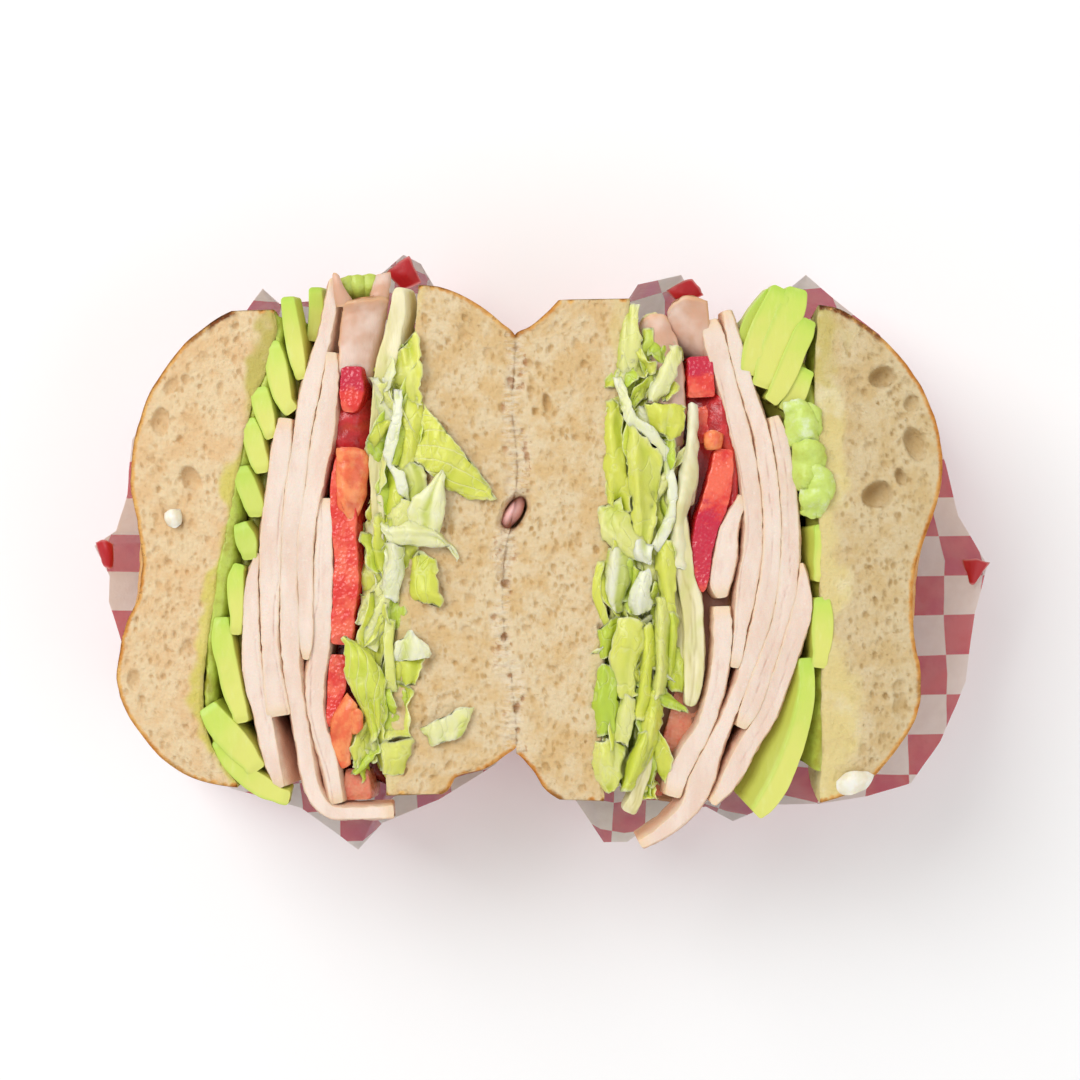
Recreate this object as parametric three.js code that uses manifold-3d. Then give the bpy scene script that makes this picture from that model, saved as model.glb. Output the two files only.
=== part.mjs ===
// A bagel sandwich cut across and opened like a book, both cut faces up, in its checked deli paper.
// The heel of the bagel is still joined along the middle. Outwards from it, each half holds shredded
// lettuce, pale lettuce ribs, tomato, sliced turkey and sliced avocado, and ends in a half of the crown.
// Millimetres, +X to the right along the layers' thickness, +Y along the bagel's width, +Z up.
// The origin is on the table, at the middle of the paper's outline.
import * as THREE from "three";
import { mergeVertices } from "three/addons/utils/BufferGeometryUtils.js";
import Module from "manifold-3d";

const wasm = await Module();
wasm.setup();

// Driving dimensions.
const cutHeight = 58; // the level of the cut faces above the table
const paperThick = 0.9;
const breadFloor = paperThick + 0.4; // lowest point of the bread
const clearance = 0.3; // between pieces that touch
const fillingRadius = 51; // how far down from the cut the filling reaches
const seamX = -5.7; // where the two halves of the heel meet
const holeY = 9; // the bagel's nearly closed hole lies here along the seam
const holeRadius = 3.7;
const shredThick = 1.7;

const finishes = {
  bread: { color: 0xe9d2a6, roughness: 0.85 },
  avocado: { color: 0xbcd64b, roughness: 0.5 },
  turkey: { color: 0xebcdb9, roughness: 0.55 },
  tomato: { color: 0xd8301f, roughness: 0.35 },
  lettuce: { color: 0xc5dc4e, roughness: 0.45 },
  rib: { color: 0xe2dfae, roughness: 0.45 },
  paper: { color: 0xc9626c, roughness: 0.6 },
};

// How a lobe of the bread narrows from its belly to its rim: evenly, or with a fuller shoulder.
const full = { plateau: 0.42, fall: 2.7, round: 0.45 };
const rounded = { plateau: 0.3, fall: 1.73, round: 0.6 };
const between = { plateau: 0.44, fall: 1.65, round: 0.58 };
const late = { plateau: 0.56, fall: 1.41, round: 0.62 };
const square = { plateau: 0.6, fall: 3, round: 0.45 };

// A bread's flat inner face in plan (from its far end to its near end), which way it bulges, where its
// dimple is and how thick it is there (waist), and its far and near lobes.
const breads = {
  crown_left: {
    face: [[-61.8, 51.3], [-73.8, -50]], bulge: -1, dimpleY: -5, waist: 18.4, dimpleSpan: 0.34,
    far: { y: 54.5, belly: 24.2, ...between }, near: { y: -51.6, belly: 21.9, ...late },
  },
  heel_left: {
    face: [[-27.5, 55.7], [-34.5, -52]], bulge: 1, dimpleY: holeY, waist: 21, dimpleSpan: 0.12,
    far: { y: 58.5, belly: 26.4, ...square }, near: { y: -53.7, belly: 27.8, ...square },
  },
  heel_right: {
    face: [[17.3, 55], [12.2, -50]], bulge: -1, dimpleY: holeY, waist: 17.3, dimpleSpan: 0.12,
    far: { y: 56.3, belly: 23.2, ...square }, near: { y: -55, belly: 21.1, ...square },
  },
  crown_right: {
    face: [[61.8, 53.5], [61.8, -52]], bulge: 1, dimpleY: -9, waist: 18.6, dimpleSpan: 0.34,
    far: { y: 53.9, belly: 26.2, ...rounded }, near: { y: -54.6, belly: 21.6, ...full },
  },
};

// Slices and strips stand on edge. Each has a path in plan, from its far end to its near end, as x, y and
// thickness. Its top is this far above the cut, it reaches at most this far down, and it leans this much.
const turkeySlices = {
  left_outer: {
    path: [[-62.4, 0, 0.9], [-63.5, -5.3, 2.4], [-63.9, -10.8, 3.5], [-63.8, -18, 3.7],
      [-63.4, -26.8, 4.4], [-61.5, -35.6, 3.9], [-59.5, -44.9, 3.6], [-57.5, -51.7, 2.1]],
  },
  left_second: {
    path: [[-56.4, 29.7, 3.1], [-57.1, 23.8, 4.1], [-58.5, 13.9, 4.2], [-59.6, 1.8, 4.8],
      [-59.8, -10.3, 4.3], [-59.7, -20.2, 3.7], [-58.7, -30.1, 4.8], [-57.8, -35.9, 5.4]],
  },
  left_long: {
    path: [[-45.6, 60.5, 1.7], [-46.3, 55, 2.6], [-47.9, 46.9, 3], [-50.6, 37, 4.1], [-52.7, 24.9, 3.9],
      [-54.5, 11.7, 4.4], [-55.5, -1.5, 3.7], [-55.4, -16.9, 4.2], [-54.9, -26.2, 3.7],
      [-52.7, -40, 3.3], [-49.9, -53.2, 3.2], [-46.6, -56.8, 2.8], [-39, -57.2, 2.6],
      [-32.5, -56.9, 2.6]],
  },
  left_fourth: {
    path: [[-46.1, 44.2, 2.4], [-46.6, 35.9, 3.6], [-48.2, 25.3, 4.8], [-50.3, 13.4, 3.9],
      [-51.9, 2.9, 3.7], [-52, -10.3, 3.5], [-51.8, -19.1, 3.1], [-51.9, -23.5, 1.5]],
  },
  left_fifth: {
    path: [[-47.6, 12.1, 2.9], [-47.9, 2.9, 3.7], [-48.1, -8.8, 4.2], [-48.7, -19.1, 4.4],
      [-49.9, -28.6, 4.1], [-49.4, -37.2, 3.5], [-46.8, -46, 3.6], [-45, -55.2, 2.8]],
  },
  right_inner: {
    path: [[36.9, 51.3, 3.4], [38.2, 46.6, 4.6], [41, 37, 4.2], [43.5, 27.5, 4.3], [45.5, 18.3, 4.1],
      [46.6, 8.4, 4], [46.5, 0.7, 4.2], [45.2, -7.7, 4.6], [43.9, -16.9, 3], [42.6, -25.3, 2]],
  },
  right_long: {
    path: [[40.8, 53.5, 1.7], [42.6, 45.8, 3], [45.2, 36.3, 3.2], [48.1, 27.5, 3.4], [49.6, 19.1, 3.7],
      [50.7, 9.5, 4], [50.7, -0.4, 4], [49.4, -10.3, 4.3], [47, -20.2, 3.8], [44.1, -28.8, 2.9],
      [40.6, -37.2, 3], [37.7, -43.6, 4], [34.9, -50.6, 5.5], [32.7, -55.7, 3.9], [27.8, -60.5, 3],
      [21.7, -64.2, 1.9]],
    reach: 44,
  },
  right_third: {
    path: [[51.1, 30.1, 2.3], [52.5, 24.9, 3.4], [54, 16.1, 3.7], [54.7, 7.3, 3.8], [54.6, -1.5, 4.2],
      [53.8, -9.7, 4.2], [51.6, -18, 3.8], [49, -25.7, 4.1], [46.1, -33.4, 4.3], [43.9, -38.5, 2.4]],
  },
  right_outer: {
    path: [[57.2, -2.2, 0.7], [57.6, -6.4, 2.2], [57.4, -12.1, 4.3], [55.3, -19.6, 4.4],
      [52.5, -27.9, 4.1], [49.4, -36.1, 4.2], [45.9, -41.6, 4.2], [42.8, -47.3, 4.1], [40.1, -52.1, 2.9],
      [37.5, -55.2, 1.5]],
  },
  right_short: {
    path: [[44.5, 12.5, 2.4], [42.7, 8.8, 2.7], [41.2, 4.4, 4.1], [40.4, -1.5, 5], [39.3, -6.8, 4.4],
      [39.7, -9.9, 2.2]],
  },
  right_low: {
    path: [[39.7, -11.7, 3.7], [39.9, -19.1, 4], [39.3, -25.1, 3.9], [37.8, -32.3, 3.6],
      [35.8, -38.7, 3.6], [32.5, -44, 4.3], [30.2, -48.8, 4.5], [28.9, -53.7, 3.2]],
  },
};
const avocadoSlices = {
  left_1: { path: [[-56, 56.5, 2.6], [-55, 49.1, 3.4], [-53.6, 41.4, 3], [-52.8, 38.3, 1.1]] },
  left_2: {
    path: [[-59.6, 46.6, 3.2], [-58.7, 42.5, 4.3], [-57.6, 36.7, 4.3], [-56.5, 33.2, 3.2],
      [-54.9, 31, 0.7]],
  },
  left_3: {
    path: [[-62.4, 36.5, 3.5], [-61.7, 33.2, 4.1], [-60.8, 29.9, 3.8], [-60, 27.1, 2.7],
      [-59.3, 25.3, 1.2]],
  },
  left_4: {
    path: [[-64.6, 29.7, 2.6], [-64, 26.6, 4.1], [-62.8, 22.2, 4], [-61.9, 19.4, 3.6],
      [-61.6, 17.6, 2.2]],
  },
  left_5: {
    path: [[-66.2, 19.1, 2.6], [-65.5, 16.1, 4], [-64.1, 12.5, 4.1], [-63.2, 9.9, 3.9],
      [-63.1, 7.9, 2.4]],
  },
  left_6: { path: [[-66.4, 6.6, 2.5], [-65.2, 3.1, 4.2], [-64.5, 0.4, 3.4], [-64.2, -1.5, 1.7]] },
  left_7: {
    path: [[-66.5, -2.4, 1.7], [-67.3, -5.7, 3.3], [-67.3, -10.3, 3.1], [-67.1, -14.7, 2.2],
      [-67.4, -18, 1.1]],
  },
  left_8: {
    path: [[-70.5, -14.1, 2.6], [-70.3, -19.1, 4.4], [-69.2, -24.6, 4.3], [-68, -30.1, 4.1],
      [-66.5, -35, 3.2], [-66, -37.4, 1.7]],
  },
  left_9: {
    path: [[-73.6, -33.7, 3.7], [-71, -37.6, 5.3], [-67.4, -41.8, 5.7], [-64.3, -45.5, 4.5],
      [-62.6, -48, 2.1]],
  },
  left_10: {
    path: [[-71.4, -41.1, 2.6], [-68.8, -45.5, 3.8], [-65, -49.1, 4.2], [-61, -51.8, 4.2],
      [-57.5, -53.5, 2.8], [-55.5, -54, 3.1]],
  },
  left_far: { path: [[-50.2, 59, 2.6], [-50, 53, 3.1], [-50.9, 47, 2.3]], top: -4, least: 12 },
  left_back: { path: [[-46, 60.4, 4.4], [-38.6, 61.2, 4.4]], top: -5, least: 9 },
  right_1: {
    path: [[51.1, 57.9, 1.6], [48.7, 54.3, 2.6], [45.9, 49.9, 2.8], [44.5, 45.8, 2.1]],
    top: -1.5,
  },
  right_2: { path: [[53.1, 58.3, 3.6], [50, 51.7, 4.8], [47.2, 44.7, 4.8], [45.9, 39.2, 3.2]] },
  right_3: {
    path: [[56.4, 58.3, 3.4], [55.1, 53.9, 5.1], [52.5, 47.7, 5.3], [50, 41.4, 4.9], [48.3, 36.5, 2.5]],
  },
  right_fan: {
    path: [[59.1, 51.3, 1.8], [57.8, 48.6, 3.6], [56, 44.7, 3.6], [54, 39.8, 3.8], [51.8, 35.4, 3.1],
      [50.3, 33.2, 1.1]],
  },
  right_4: { path: [[58.6, 40.5, 2.7], [56.9, 37.2, 4.3], [55.3, 33.9, 4.6], [53.6, 31.2, 2.2]] },
  right_5: { path: [[58.2, 30.6, 4], [58.2, 27.9, 5.2], [57.3, 24.9, 3.4]], reach: 22 },
  right_6: { path: [[59.1, 23.5, 4.5], [60.4, 20, 6.5], [60.4, 16.5, 4.8]] },
  right_7: { path: [[60.2, 15, 5.7], [60.4, 11.7, 6.5], [59.3, 8.4, 4.2]] },
  right_8: { path: [[61.7, 6.4, 3], [62.4, 1.8, 4], [61.9, -2.6, 3.7], [61.3, -6.4, 1.7]] },
  right_9: { path: [[61.7, -9.7, 3.1], [61.9, -14.7, 4.4], [61.7, -20.2, 3.9], [61, -25.3, 1.7]] },
  right_10: {
    path: [[58.2, -23.1, 2], [58.6, -28.8, 3.1], [57.8, -35, 3.7], [56.2, -41.1, 4], [54.2, -46.6, 4.1],
      [51.7, -51.9, 4.2], [48.7, -56.1, 3.5], [47.2, -57.6, 1.9]],
    lean: -0.4, reach: 20,
  },
};
const tomatoPieces = {
  left_cube: {
    path: [[-41.9, 41.1, 4.4], [-41.9, 37, 4.8], [-42.1, 33.7, 4.6], [-42.4, 31, 3.1]],
    reach: 14, lean: 0.15,
  },
  left_slice: {
    path: [[-41.7, 22.9, 6], [-42.8, 18.3, 6.1], [-43.7, 11.7, 5.3], [-43.2, 2.4, 5.3], [-43, -5.9, 5.5],
      [-43.5, -12.5, 5], [-44.1, -20.2, 4.6]],
  },
  left_end: {
    path: [[-44.9, -22.4, 3.5], [-45.1, -29, 4.2], [-46.1, -34.5, 2.6], [-46.8, -38.3, 1.3]],
    top: -1,
  },
  left_flesh: { path: [[-40.8, -47.7, 4.8], [-40.8, -51.3, 5.7], [-40.7, -54.6, 5.6]], top: -2, least: 8 },
  right_cube: { path: [[34.9, 43.3, 5.3], [35.1, 38.9, 5.7], [35.3, 34.3, 5.7]], reach: 13 },
  right_pulp: { path: [[36.4, 32.6, 5.5], [37.5, 28.8, 6.8], [38.4, 24.9, 6.9]], top: -2 },
  right_slice: {
    path: [[40.1, 22.9, 3.9], [39.8, 18.3, 4.8], [38.5, 12.1, 5.3], [36.7, 6.8, 5.4], [35.4, 0.7, 4.8],
      [35.3, -4.8, 3.3], [35.4, -8.6, 1.1]],
  },
  right_low: {
    path: [[34.2, -20.9, 3.5], [32.5, -30.1, 5.6], [30.7, -38.5, 5.9], [27.8, -44.9, 4]],
    top: -3,
  },
  right_end: { path: [[25.6, -46.6, 3.4], [25.6, -50.4, 3.6], [25, -53.9, 3.4]], top: -5, least: 11 },
};
const ribs = {
  left_far: {
    path: [[-31.5, 58.5, 2], [-31.4, 55, 3.1], [-32.5, 49.1, 4.1], [-34, 42.5, 4.1], [-35.5, 34.8, 3.5],
      [-36.4, 27.1, 2.9], [-36.4, 18.3, 2.9], [-36, 9.5, 2.6], [-35.9, 1.8, 2.2]],
    lean: 0.12,
  },
  right_far: {
    path: [[24.1, 53, 3.4], [25.9, 45.8, 4.2], [27.8, 39.2, 3.4], [28.9, 31.5, 3.7], [28.9, 22.7, 3.5],
      [28.7, 16.5, 2.6]],
    top: -2,
  },
  right_pale: { path: [[33.1, 22.2, 2.2], [32.5, 16.1, 3.9], [31.8, 10.6, 3.5]], top: -1 },
  right_long: {
    path: [[30.2, 9, 3.1], [30.7, 1.8, 3.9], [31.4, -4.2, 4.1], [32.9, -10.3, 4.3], [33.5, -16.9, 4.4],
      [33.5, -23.5, 4.4], [33.3, -30.1, 3.7], [32.5, -33.7, 2.1]],
    top: 0.6,
  },
  right_thin: {
    path: [[28.7, -6.4, 1.1], [29.8, -12.5, 2], [30.7, -19.1, 2], [30.5, -24.6, 1.3]],
    top: -1,
  },
  right_end: { path: [[23.6, -41.6, 1.7], [22.8, -47.3, 2.8], [21, -52.8, 3.1], [19, -57.2, 3.2]] },
};
// Each half's shredded lettuce: its core's path as x, y and thickness, and how many shreds it has.
const lettuces = {
  left: {
    path: [[-30.8, 47, 6.5], [-32.4, 20, 6.5], [-34.6, -8, 6.5], [-37, -30, 7], [-37.4, -46, 6]],
    shreds: 13, seed: 11,
  },
  right: {
    path: [[19.8, 50, 8], [20.6, 24, 11], [20.2, -4, 11.5], [21.2, -30, 11.5], [20.6, -48, 9]],
    shreds: 14, seed: 29,
  },
};
// Leaves that lie over the cut, each by its outline in plan and how far above the cut it lies.
const leaves = {
  left_wide: {
    outline: [[-30, 33], [-22, 21], [-10.4, 13.4], [-13, 11], [-25, 11.4], [-31, 14]],
    rise: 0.3,
  },
  left_pale: {
    outline: [[-22.6, 17.6], [-21.4, 5], [-18.4, -2], [-26.8, 0], [-31.6, 5], [-27, 11]],
    rise: 1.9,
  },
  left_frond: {
    outline: [[-43.4, -19.2], [-38, -22.6], [-34.8, -30.2], [-36, -37.2], [-40, -35], [-42.8, -28]],
    rise: 1.6,
  },
  left_scrap: { outline: [[-26, -36.6], [-15.6, -33.8], [-17.6, -39], [-23.6, -41.8]], rise: 0.3 },
};
const paperCentre = [seamX - 0.3, holeY];
// The paper's pinch in the hole: radius and height of each ring, from its tip down.
const pinchTip = 36;
const pinchRings = [[1.6, 34], [2.4, 20], [3, 0]];
// The paper's rim, anticlockwise from the right-hand tip: x, y and height above the table.
const paperRim = [
  [104, -3, 28], [97.5, 8.5, 26], [95, 20.5, 24], [91, 35, 20], [80, 51.5, 20], [69, 59, 25],
  [61.5, 64.5, 29], [52.5, 61.5, 22], [38.5, 60.5, 28], [32.5, 64.5, 29], [22.5, 62.5, 27],
  [14, 58.5, 20], [3.5, 55.5, 14], [-6.5, 44.5, 9], [-17, 55, 14], [-25, 62, 25], [-28, 67, 30],
  [-32, 69, 31], [-37, 65.5, 27], [-50, 60, 18],
  [-62, 58.5, 22], [-68.5, 61, 28], [-75, 54, 20], [-89.5, 39.5, 18], [-97, 26.5, 20], [-97, 13.5, 26],
  [-99.5, 5, 26], [-104, 1.5, 29], [-101, -5.5, 26], [-101.5, -11.5, 25], [-99, -22, 21], [-98, -36.5, 17],
  [-86, -50.5, 17], [-73, -56, 20], [-56.5, -60, 24], [-42.5, -69, 30], [-37, -63, 28], [-24, -58, 25],
  [-11, -50.5, 18], [-6, -45, 9], [-1.5, -51.5, 14], [8, -58.5, 20], [14.5, -67.5, 29], [20, -67.5, 28],
  [29.5, -61, 25], [38.5, -59.5, 26], [44.5, -62.5, 30], [54, -59.5, 22], [66, -59.5, 20], [77, -57.5, 22],
  [86.5, -54, 26], [93, -44, 28], [99, -30, 28], [101, -14, 28],
];
const paperLift = 0.72; // share of the way out at which the paper leaves the table
const paperRings = 6;

// A seeded draw, so that the lettuce is the same each time.
function draws(seed) {
  let state = seed;
  return (low, high) => {
    state = (state * 1103515245 + 12345) % 2147483648;
    return low + ((high - low) * state) / 2147483648;
  };
}

// A closed mesh, with shared corners merged, as a solid.
function solid(geometry) {
  const bare = geometry.clone();
  bare.deleteAttribute("normal");
  bare.deleteAttribute("uv");
  const merged = mergeVertices(bare, 1e-4);
  return new wasm.Manifold(new wasm.Mesh({
    numProp: 3,
    vertProperties: merged.attributes.position.array,
    triVerts: new Uint32Array(merged.index.array),
  }));
}

// A closed mesh from rings of points, each joined to the next, with a fan over the first and the last.
function loft(rings) {
  const sides = rings[0].length;
  const index = [];
  for (let i = 0; i + 1 < rings.length; i++)
    for (let j = 0; j < sides; j++) {
      const a = i * sides + j;
      const b = i * sides + ((j + 1) % sides);
      index.push(a, b, a + sides, b, b + sides, a + sides);
    }
  const last = (rings.length - 1) * sides;
  for (let j = 1; j + 1 < sides; j++) {
    index.push(0, j + 1, j);
    index.push(last, last + j, last + j + 1);
  }
  const geometry = new THREE.BufferGeometry().setFromPoints(rings.flat());
  geometry.setIndex(index);
  return geometry;
}

const smooth = (x) => x * x * (3 - 2 * x);

// How thick a bread is at a share s of the way from its dimple to its rim.
function breadThickness(b, lobe, s) {
  if (s < b.dimpleSpan) return b.waist + (lobe.belly - b.waist) * smooth(s / b.dimpleSpan);
  if (s < lobe.plateau) return lobe.belly;
  return lobe.belly * (1 - ((s - lobe.plateau) / (1 - lobe.plateau)) ** lobe.fall) ** lobe.round;
}

// A quarter of a bagel: its profile swept half a turn about the line through its dimple, under the cut.
function breadGeometry(b) {
  const [farEnd, nearEnd] = b.face;
  const lean = Math.atan2(farEnd[0] - nearEnd[0], farEnd[1] - nearEnd[1]);
  const faceX = nearEnd[0] + (b.dimpleY - nearEnd[1]) * Math.tan(lean);
  const rimRadius = (b.far.y - b.near.y) / 2;
  const shift = (b.far.y + b.near.y) / 2 - b.dimpleY;
  const deep = (cutHeight - breadFloor) / rimRadius;
  const turns = 16;
  const domeShares = [0.985, 0.95, 0.89, 0.81, 0.71, 0.6, 0.46, 0.34, 0.22, 0.12, 0.06];
  const place = (thick, s, turn) => {
    const reach = shift * Math.cos(turn) + Math.sqrt(rimRadius ** 2 - (shift * Math.sin(turn)) ** 2);
    const y = reach * s * Math.cos(turn);
    const z = -reach * s * Math.sin(turn) * deep;
    const x = b.bulge * thick;
    return new THREE.Vector3(
      faceX + x * Math.cos(lean) + y * Math.sin(lean),
      b.dimpleY - x * Math.sin(lean) + y * Math.cos(lean),
      cutHeight + z,
    );
  };
  const points = [place(0, 0, 0), place(b.waist, 0, 0)];
  const count = 1 + domeShares.length;
  for (let i = 0; i <= turns; i++) {
    const turn = (Math.PI * i) / turns;
    const lobe = {};
    for (const key in b.far) lobe[key] = THREE.MathUtils.lerp(b.far[key], b.near[key], smooth(i / turns));
    points.push(place(0, 1, turn));
    for (const s of domeShares) points.push(place(breadThickness(b, lobe, s), s, turn));
  }
  const at = (i, j) => (j < 0 ? 0 : j >= count ? 1 : 2 + i * count + j);
  const index = [];
  const face = (p, q, r) => {
    if (p !== q && q !== r && r !== p) index.push(...(b.bulge > 0 ? [p, r, q] : [p, q, r]));
  };
  for (let i = 0; i < turns; i++)
    for (let j = -1; j < count; j++) {
      face(at(i, j), at(i + 1, j), at(i, j + 1));
      face(at(i + 1, j), at(i + 1, j + 1), at(i, j + 1));
    }
  // The two cut lobes, each a strip between the inner face and the dome.
  for (const i of [0, turns]) {
    const ring = Array.from({ length: count + 2 }, (_, j) => at(i, j - 1));
    const outline = ring.map((p) => new THREE.Vector2(points[p].x, points[p].y));
    const triangles = THREE.ShapeUtils.triangulateShape(outline, []);
    const facing = triangles.reduce((sum, t) => sum + THREE.ShapeUtils.area(t.map((k) => outline[k])), 0);
    for (const [p, q, r] of triangles) {
      const [second, third] = facing > 0 ? [q, r] : [r, q];
      index.push(ring[p], ring[second], ring[third]);
    }
  }
  const geometry = new THREE.BufferGeometry().setFromPoints(points);
  geometry.setIndex(index);
  return geometry;
}

// How far below the cut the filling reaches at y.
const fillingReach = (y) => Math.sqrt(Math.max(0, fillingRadius ** 2 - y ** 2));

// A slice on edge along a plan path: its section has bevelled corners and reaches down towards the rim.
function sliceGeometry({ path, top = 0, reach = 99, least = 5, lean = 0 }, extra = 0) {
  const places = path.map(([x, y, thick]) => new THREE.Vector3(x, y, thick));
  const curve = new THREE.CatmullRomCurve3(places, false, "centripetal");
  const steps = Math.min(9, path.length);
  const rings = [];
  for (let i = 0; i <= steps; i++) {
    const p = curve.getPointAt(i / steps);
    const along = curve.getTangentAt(i / steps).setZ(0).normalize();
    const side = new THREE.Vector3(-along.y, along.x, 0);
    const half = Math.max(0.5, (p.z - clearance) / 2) + extra;
    const bevel = Math.min(0.22 * p.z, 0.8 * half);
    if (extra && i === 0) p.addScaledVector(along, -extra);
    if (extra && i === steps) p.addScaledVector(along, extra);
    const high = cutHeight + top + extra;
    const deep = Math.max(least, Math.min(reach, fillingReach(p.y)));
    const low = Math.max(breadFloor + 1.5, cutHeight - deep) - extra;
    const foot = lean * (high - low);
    const section = [
      [foot - half, low + bevel], [foot - half + bevel, low],
      [foot + half - bevel, low], [foot + half, low + bevel],
      [half, high - bevel], [half - bevel, high], [bevel - half, high], [-half, high - bevel],
    ];
    rings.push(section.map(([u, z]) => p.clone().addScaledVector(side, u).setZ(z)));
  }
  return loft(rings);
}

// The room between the two breads of one half, from the cut's far side to the near side.
function fillingRoom(leftFace, rightFace) {
  const edge = ([far, near], inset, y) => {
    const slope = (far[0] - near[0]) / (far[1] - near[1]);
    return near[0] + slope * (y - near[1]) + inset;
  };
  const reach = 80;
  const shape = new THREE.Shape([
    new THREE.Vector2(edge(leftFace, clearance, reach), reach),
    new THREE.Vector2(edge(leftFace, clearance, -reach), -reach),
    new THREE.Vector2(edge(rightFace, -clearance, -reach), -reach),
    new THREE.Vector2(edge(rightFace, -clearance, reach), reach),
  ]);
  return solid(new THREE.ExtrudeGeometry(shape, { depth: 3 * cutHeight, bevelEnabled: false }));
}

// Shredded lettuce: a core under strips that lean and cross, all fused.
function lettuceSolid({ path, shreds, seed }) {
  const draw = draws(seed);
  const spine = new THREE.CatmullRomCurve3(path.map(([x, y]) => new THREE.Vector3(x, y, 0)));
  const width = path[1][2];
  let heap = solid(sliceGeometry({ path, top: -5 }));
  for (let i = 0; i < shreds; i++) {
    const share = (i + 0.5) / shreds;
    const middle = spine.getPointAt(share);
    const length = draw(12, 22);
    const angle = draw(-0.45, 0.45);
    const aside = draw(-0.42, 0.42) * width;
    const bow = draw(-1.6, 1.6);
    const strip = [-0.5, 0, 0.5].map((t) => [
      middle.x + aside + Math.sin(angle) * length * t + (t === 0 ? bow : 0),
      THREE.MathUtils.clamp(middle.y + Math.cos(angle) * length * t, -57, 57),
      shredThick,
    ]);
    const shred = { path: strip, top: draw(-2.2, 1.4), reach: 14 };
    heap = heap.add(solid(sliceGeometry(shred)));
  }
  return heap;
}

// A leaf lying on the bread: a thin sheet with a wave in it, both faces alike.
function leafSolid({ outline, rise }) {
  const thick = 0.9;
  const shape = new THREE.Shape(outline.map(([x, y]) => new THREE.Vector2(x, y)));
  const geometry = new THREE.ExtrudeGeometry(shape, { depth: thick, bevelEnabled: false });
  const places = geometry.attributes.position;
  for (let i = 0; i < places.count; i++) {
    const wave = 0.6 * (1 + Math.sin(0.5 * places.getX(i) + 0.35 * places.getY(i)));
    places.setZ(i, places.getZ(i) + cutHeight + rise + wave);
  }
  return solid(geometry);
}

// The paper: flat under the food, then rising to a wavy rim, with a pinch of it standing in the hole.
function paperSolid() {
  const [cx, cy] = paperCentre;
  const count = paperRim.length;
  const rings = pinchRings.map(([radius, z]) => paperRim.map(([x, y]) => {
    const share = radius / Math.hypot(x - cx, y - cy);
    return [cx + (x - cx) * share, cy + (y - cy) * share, z];
  }));
  const shares = [0.42];
  for (let i = 0; i <= paperRings; i++) shares.push(paperLift + ((1 - paperLift) * i) / paperRings);
  for (const share of shares)
    rings.push(paperRim.map(([x, y, z]) => {
      const lift = z * Math.max(0, (share - paperLift) / (1 - paperLift)) ** 1.4;
      return [cx + (x - cx) * share, cy + (y - cy) * share, lift];
    }));
  const points = [];
  for (const up of [paperThick, 0]) {
    points.push(new THREE.Vector3(cx, cy, up ? pinchTip : 0));
    for (const ring of rings)
      for (const [x, y, z] of ring) {
        const pinched = Math.hypot(x - cx, y - cy) < holeRadius;
        points.push(new THREE.Vector3(x, y, pinched && !up ? 0 : z + up));
      }
  }
  const half = 1 + rings.length * count;
  const at = (face, ring, j) => face * half + (ring < 0 ? 0 : 1 + ring * count + (j % count));
  const index = [];
  const push = (p, q, r) => {
    if (p !== q && q !== r && r !== p) index.push(p, q, r);
  };
  for (let ring = -1; ring + 1 < rings.length; ring++)
    for (let j = 0; j < count; j++) {
      push(at(0, ring, j), at(0, ring + 1, j), at(0, ring + 1, j + 1));
      push(at(0, ring, j), at(0, ring + 1, j + 1), at(0, ring, j + 1));
      push(at(1, ring, j), at(1, ring + 1, j + 1), at(1, ring + 1, j));
      push(at(1, ring, j), at(1, ring, j + 1), at(1, ring + 1, j + 1));
    }
  const edge = rings.length - 1;
  for (let j = 0; j < count; j++) {
    push(at(0, edge, j), at(1, edge, j), at(1, edge, j + 1));
    push(at(0, edge, j), at(1, edge, j + 1), at(0, edge, j + 1));
  }
  const geometry = new THREE.BufferGeometry().setFromPoints(points);
  geometry.setIndex(index);
  return solid(geometry);
}

const sandwich = new THREE.Group();

function addNode(name, shape, finish) {
  const mesh = shape.getMesh();
  const geometry = new THREE.BufferGeometry();
  geometry.setAttribute("position", new THREE.BufferAttribute(new Float32Array(mesh.vertProperties), 3));
  geometry.setIndex(new THREE.BufferAttribute(new Uint32Array(mesh.triVerts), 1));
  const node = new THREE.Mesh(geometry.toNonIndexed(), new THREE.MeshStandardMaterial(finishes[finish]));
  node.geometry.computeVertexNormals();
  node.name = name;
  sandwich.add(node);
}

const largest = (shape) => shape.decompose().sort((a, b) => b.volume() - a.volume())[0];

// Bread: two crowns and the heel, whose halves are fused where they press together.
addNode("bread_crown_left", solid(breadGeometry(breads.crown_left)), "bread");
addNode("bread_crown_right", solid(breadGeometry(breads.crown_right)), "bread");
const hole = new THREE.CylinderGeometry(holeRadius, holeRadius, 3 * cutHeight, 20).rotateX(Math.PI / 2);
hole.translate(paperCentre[0], paperCentre[1], 0);
const heel = solid(breadGeometry(breads.heel_left)).add(solid(breadGeometry(breads.heel_right)));
addNode("bread_heel", heel.subtract(solid(hole)), "bread");

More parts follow.
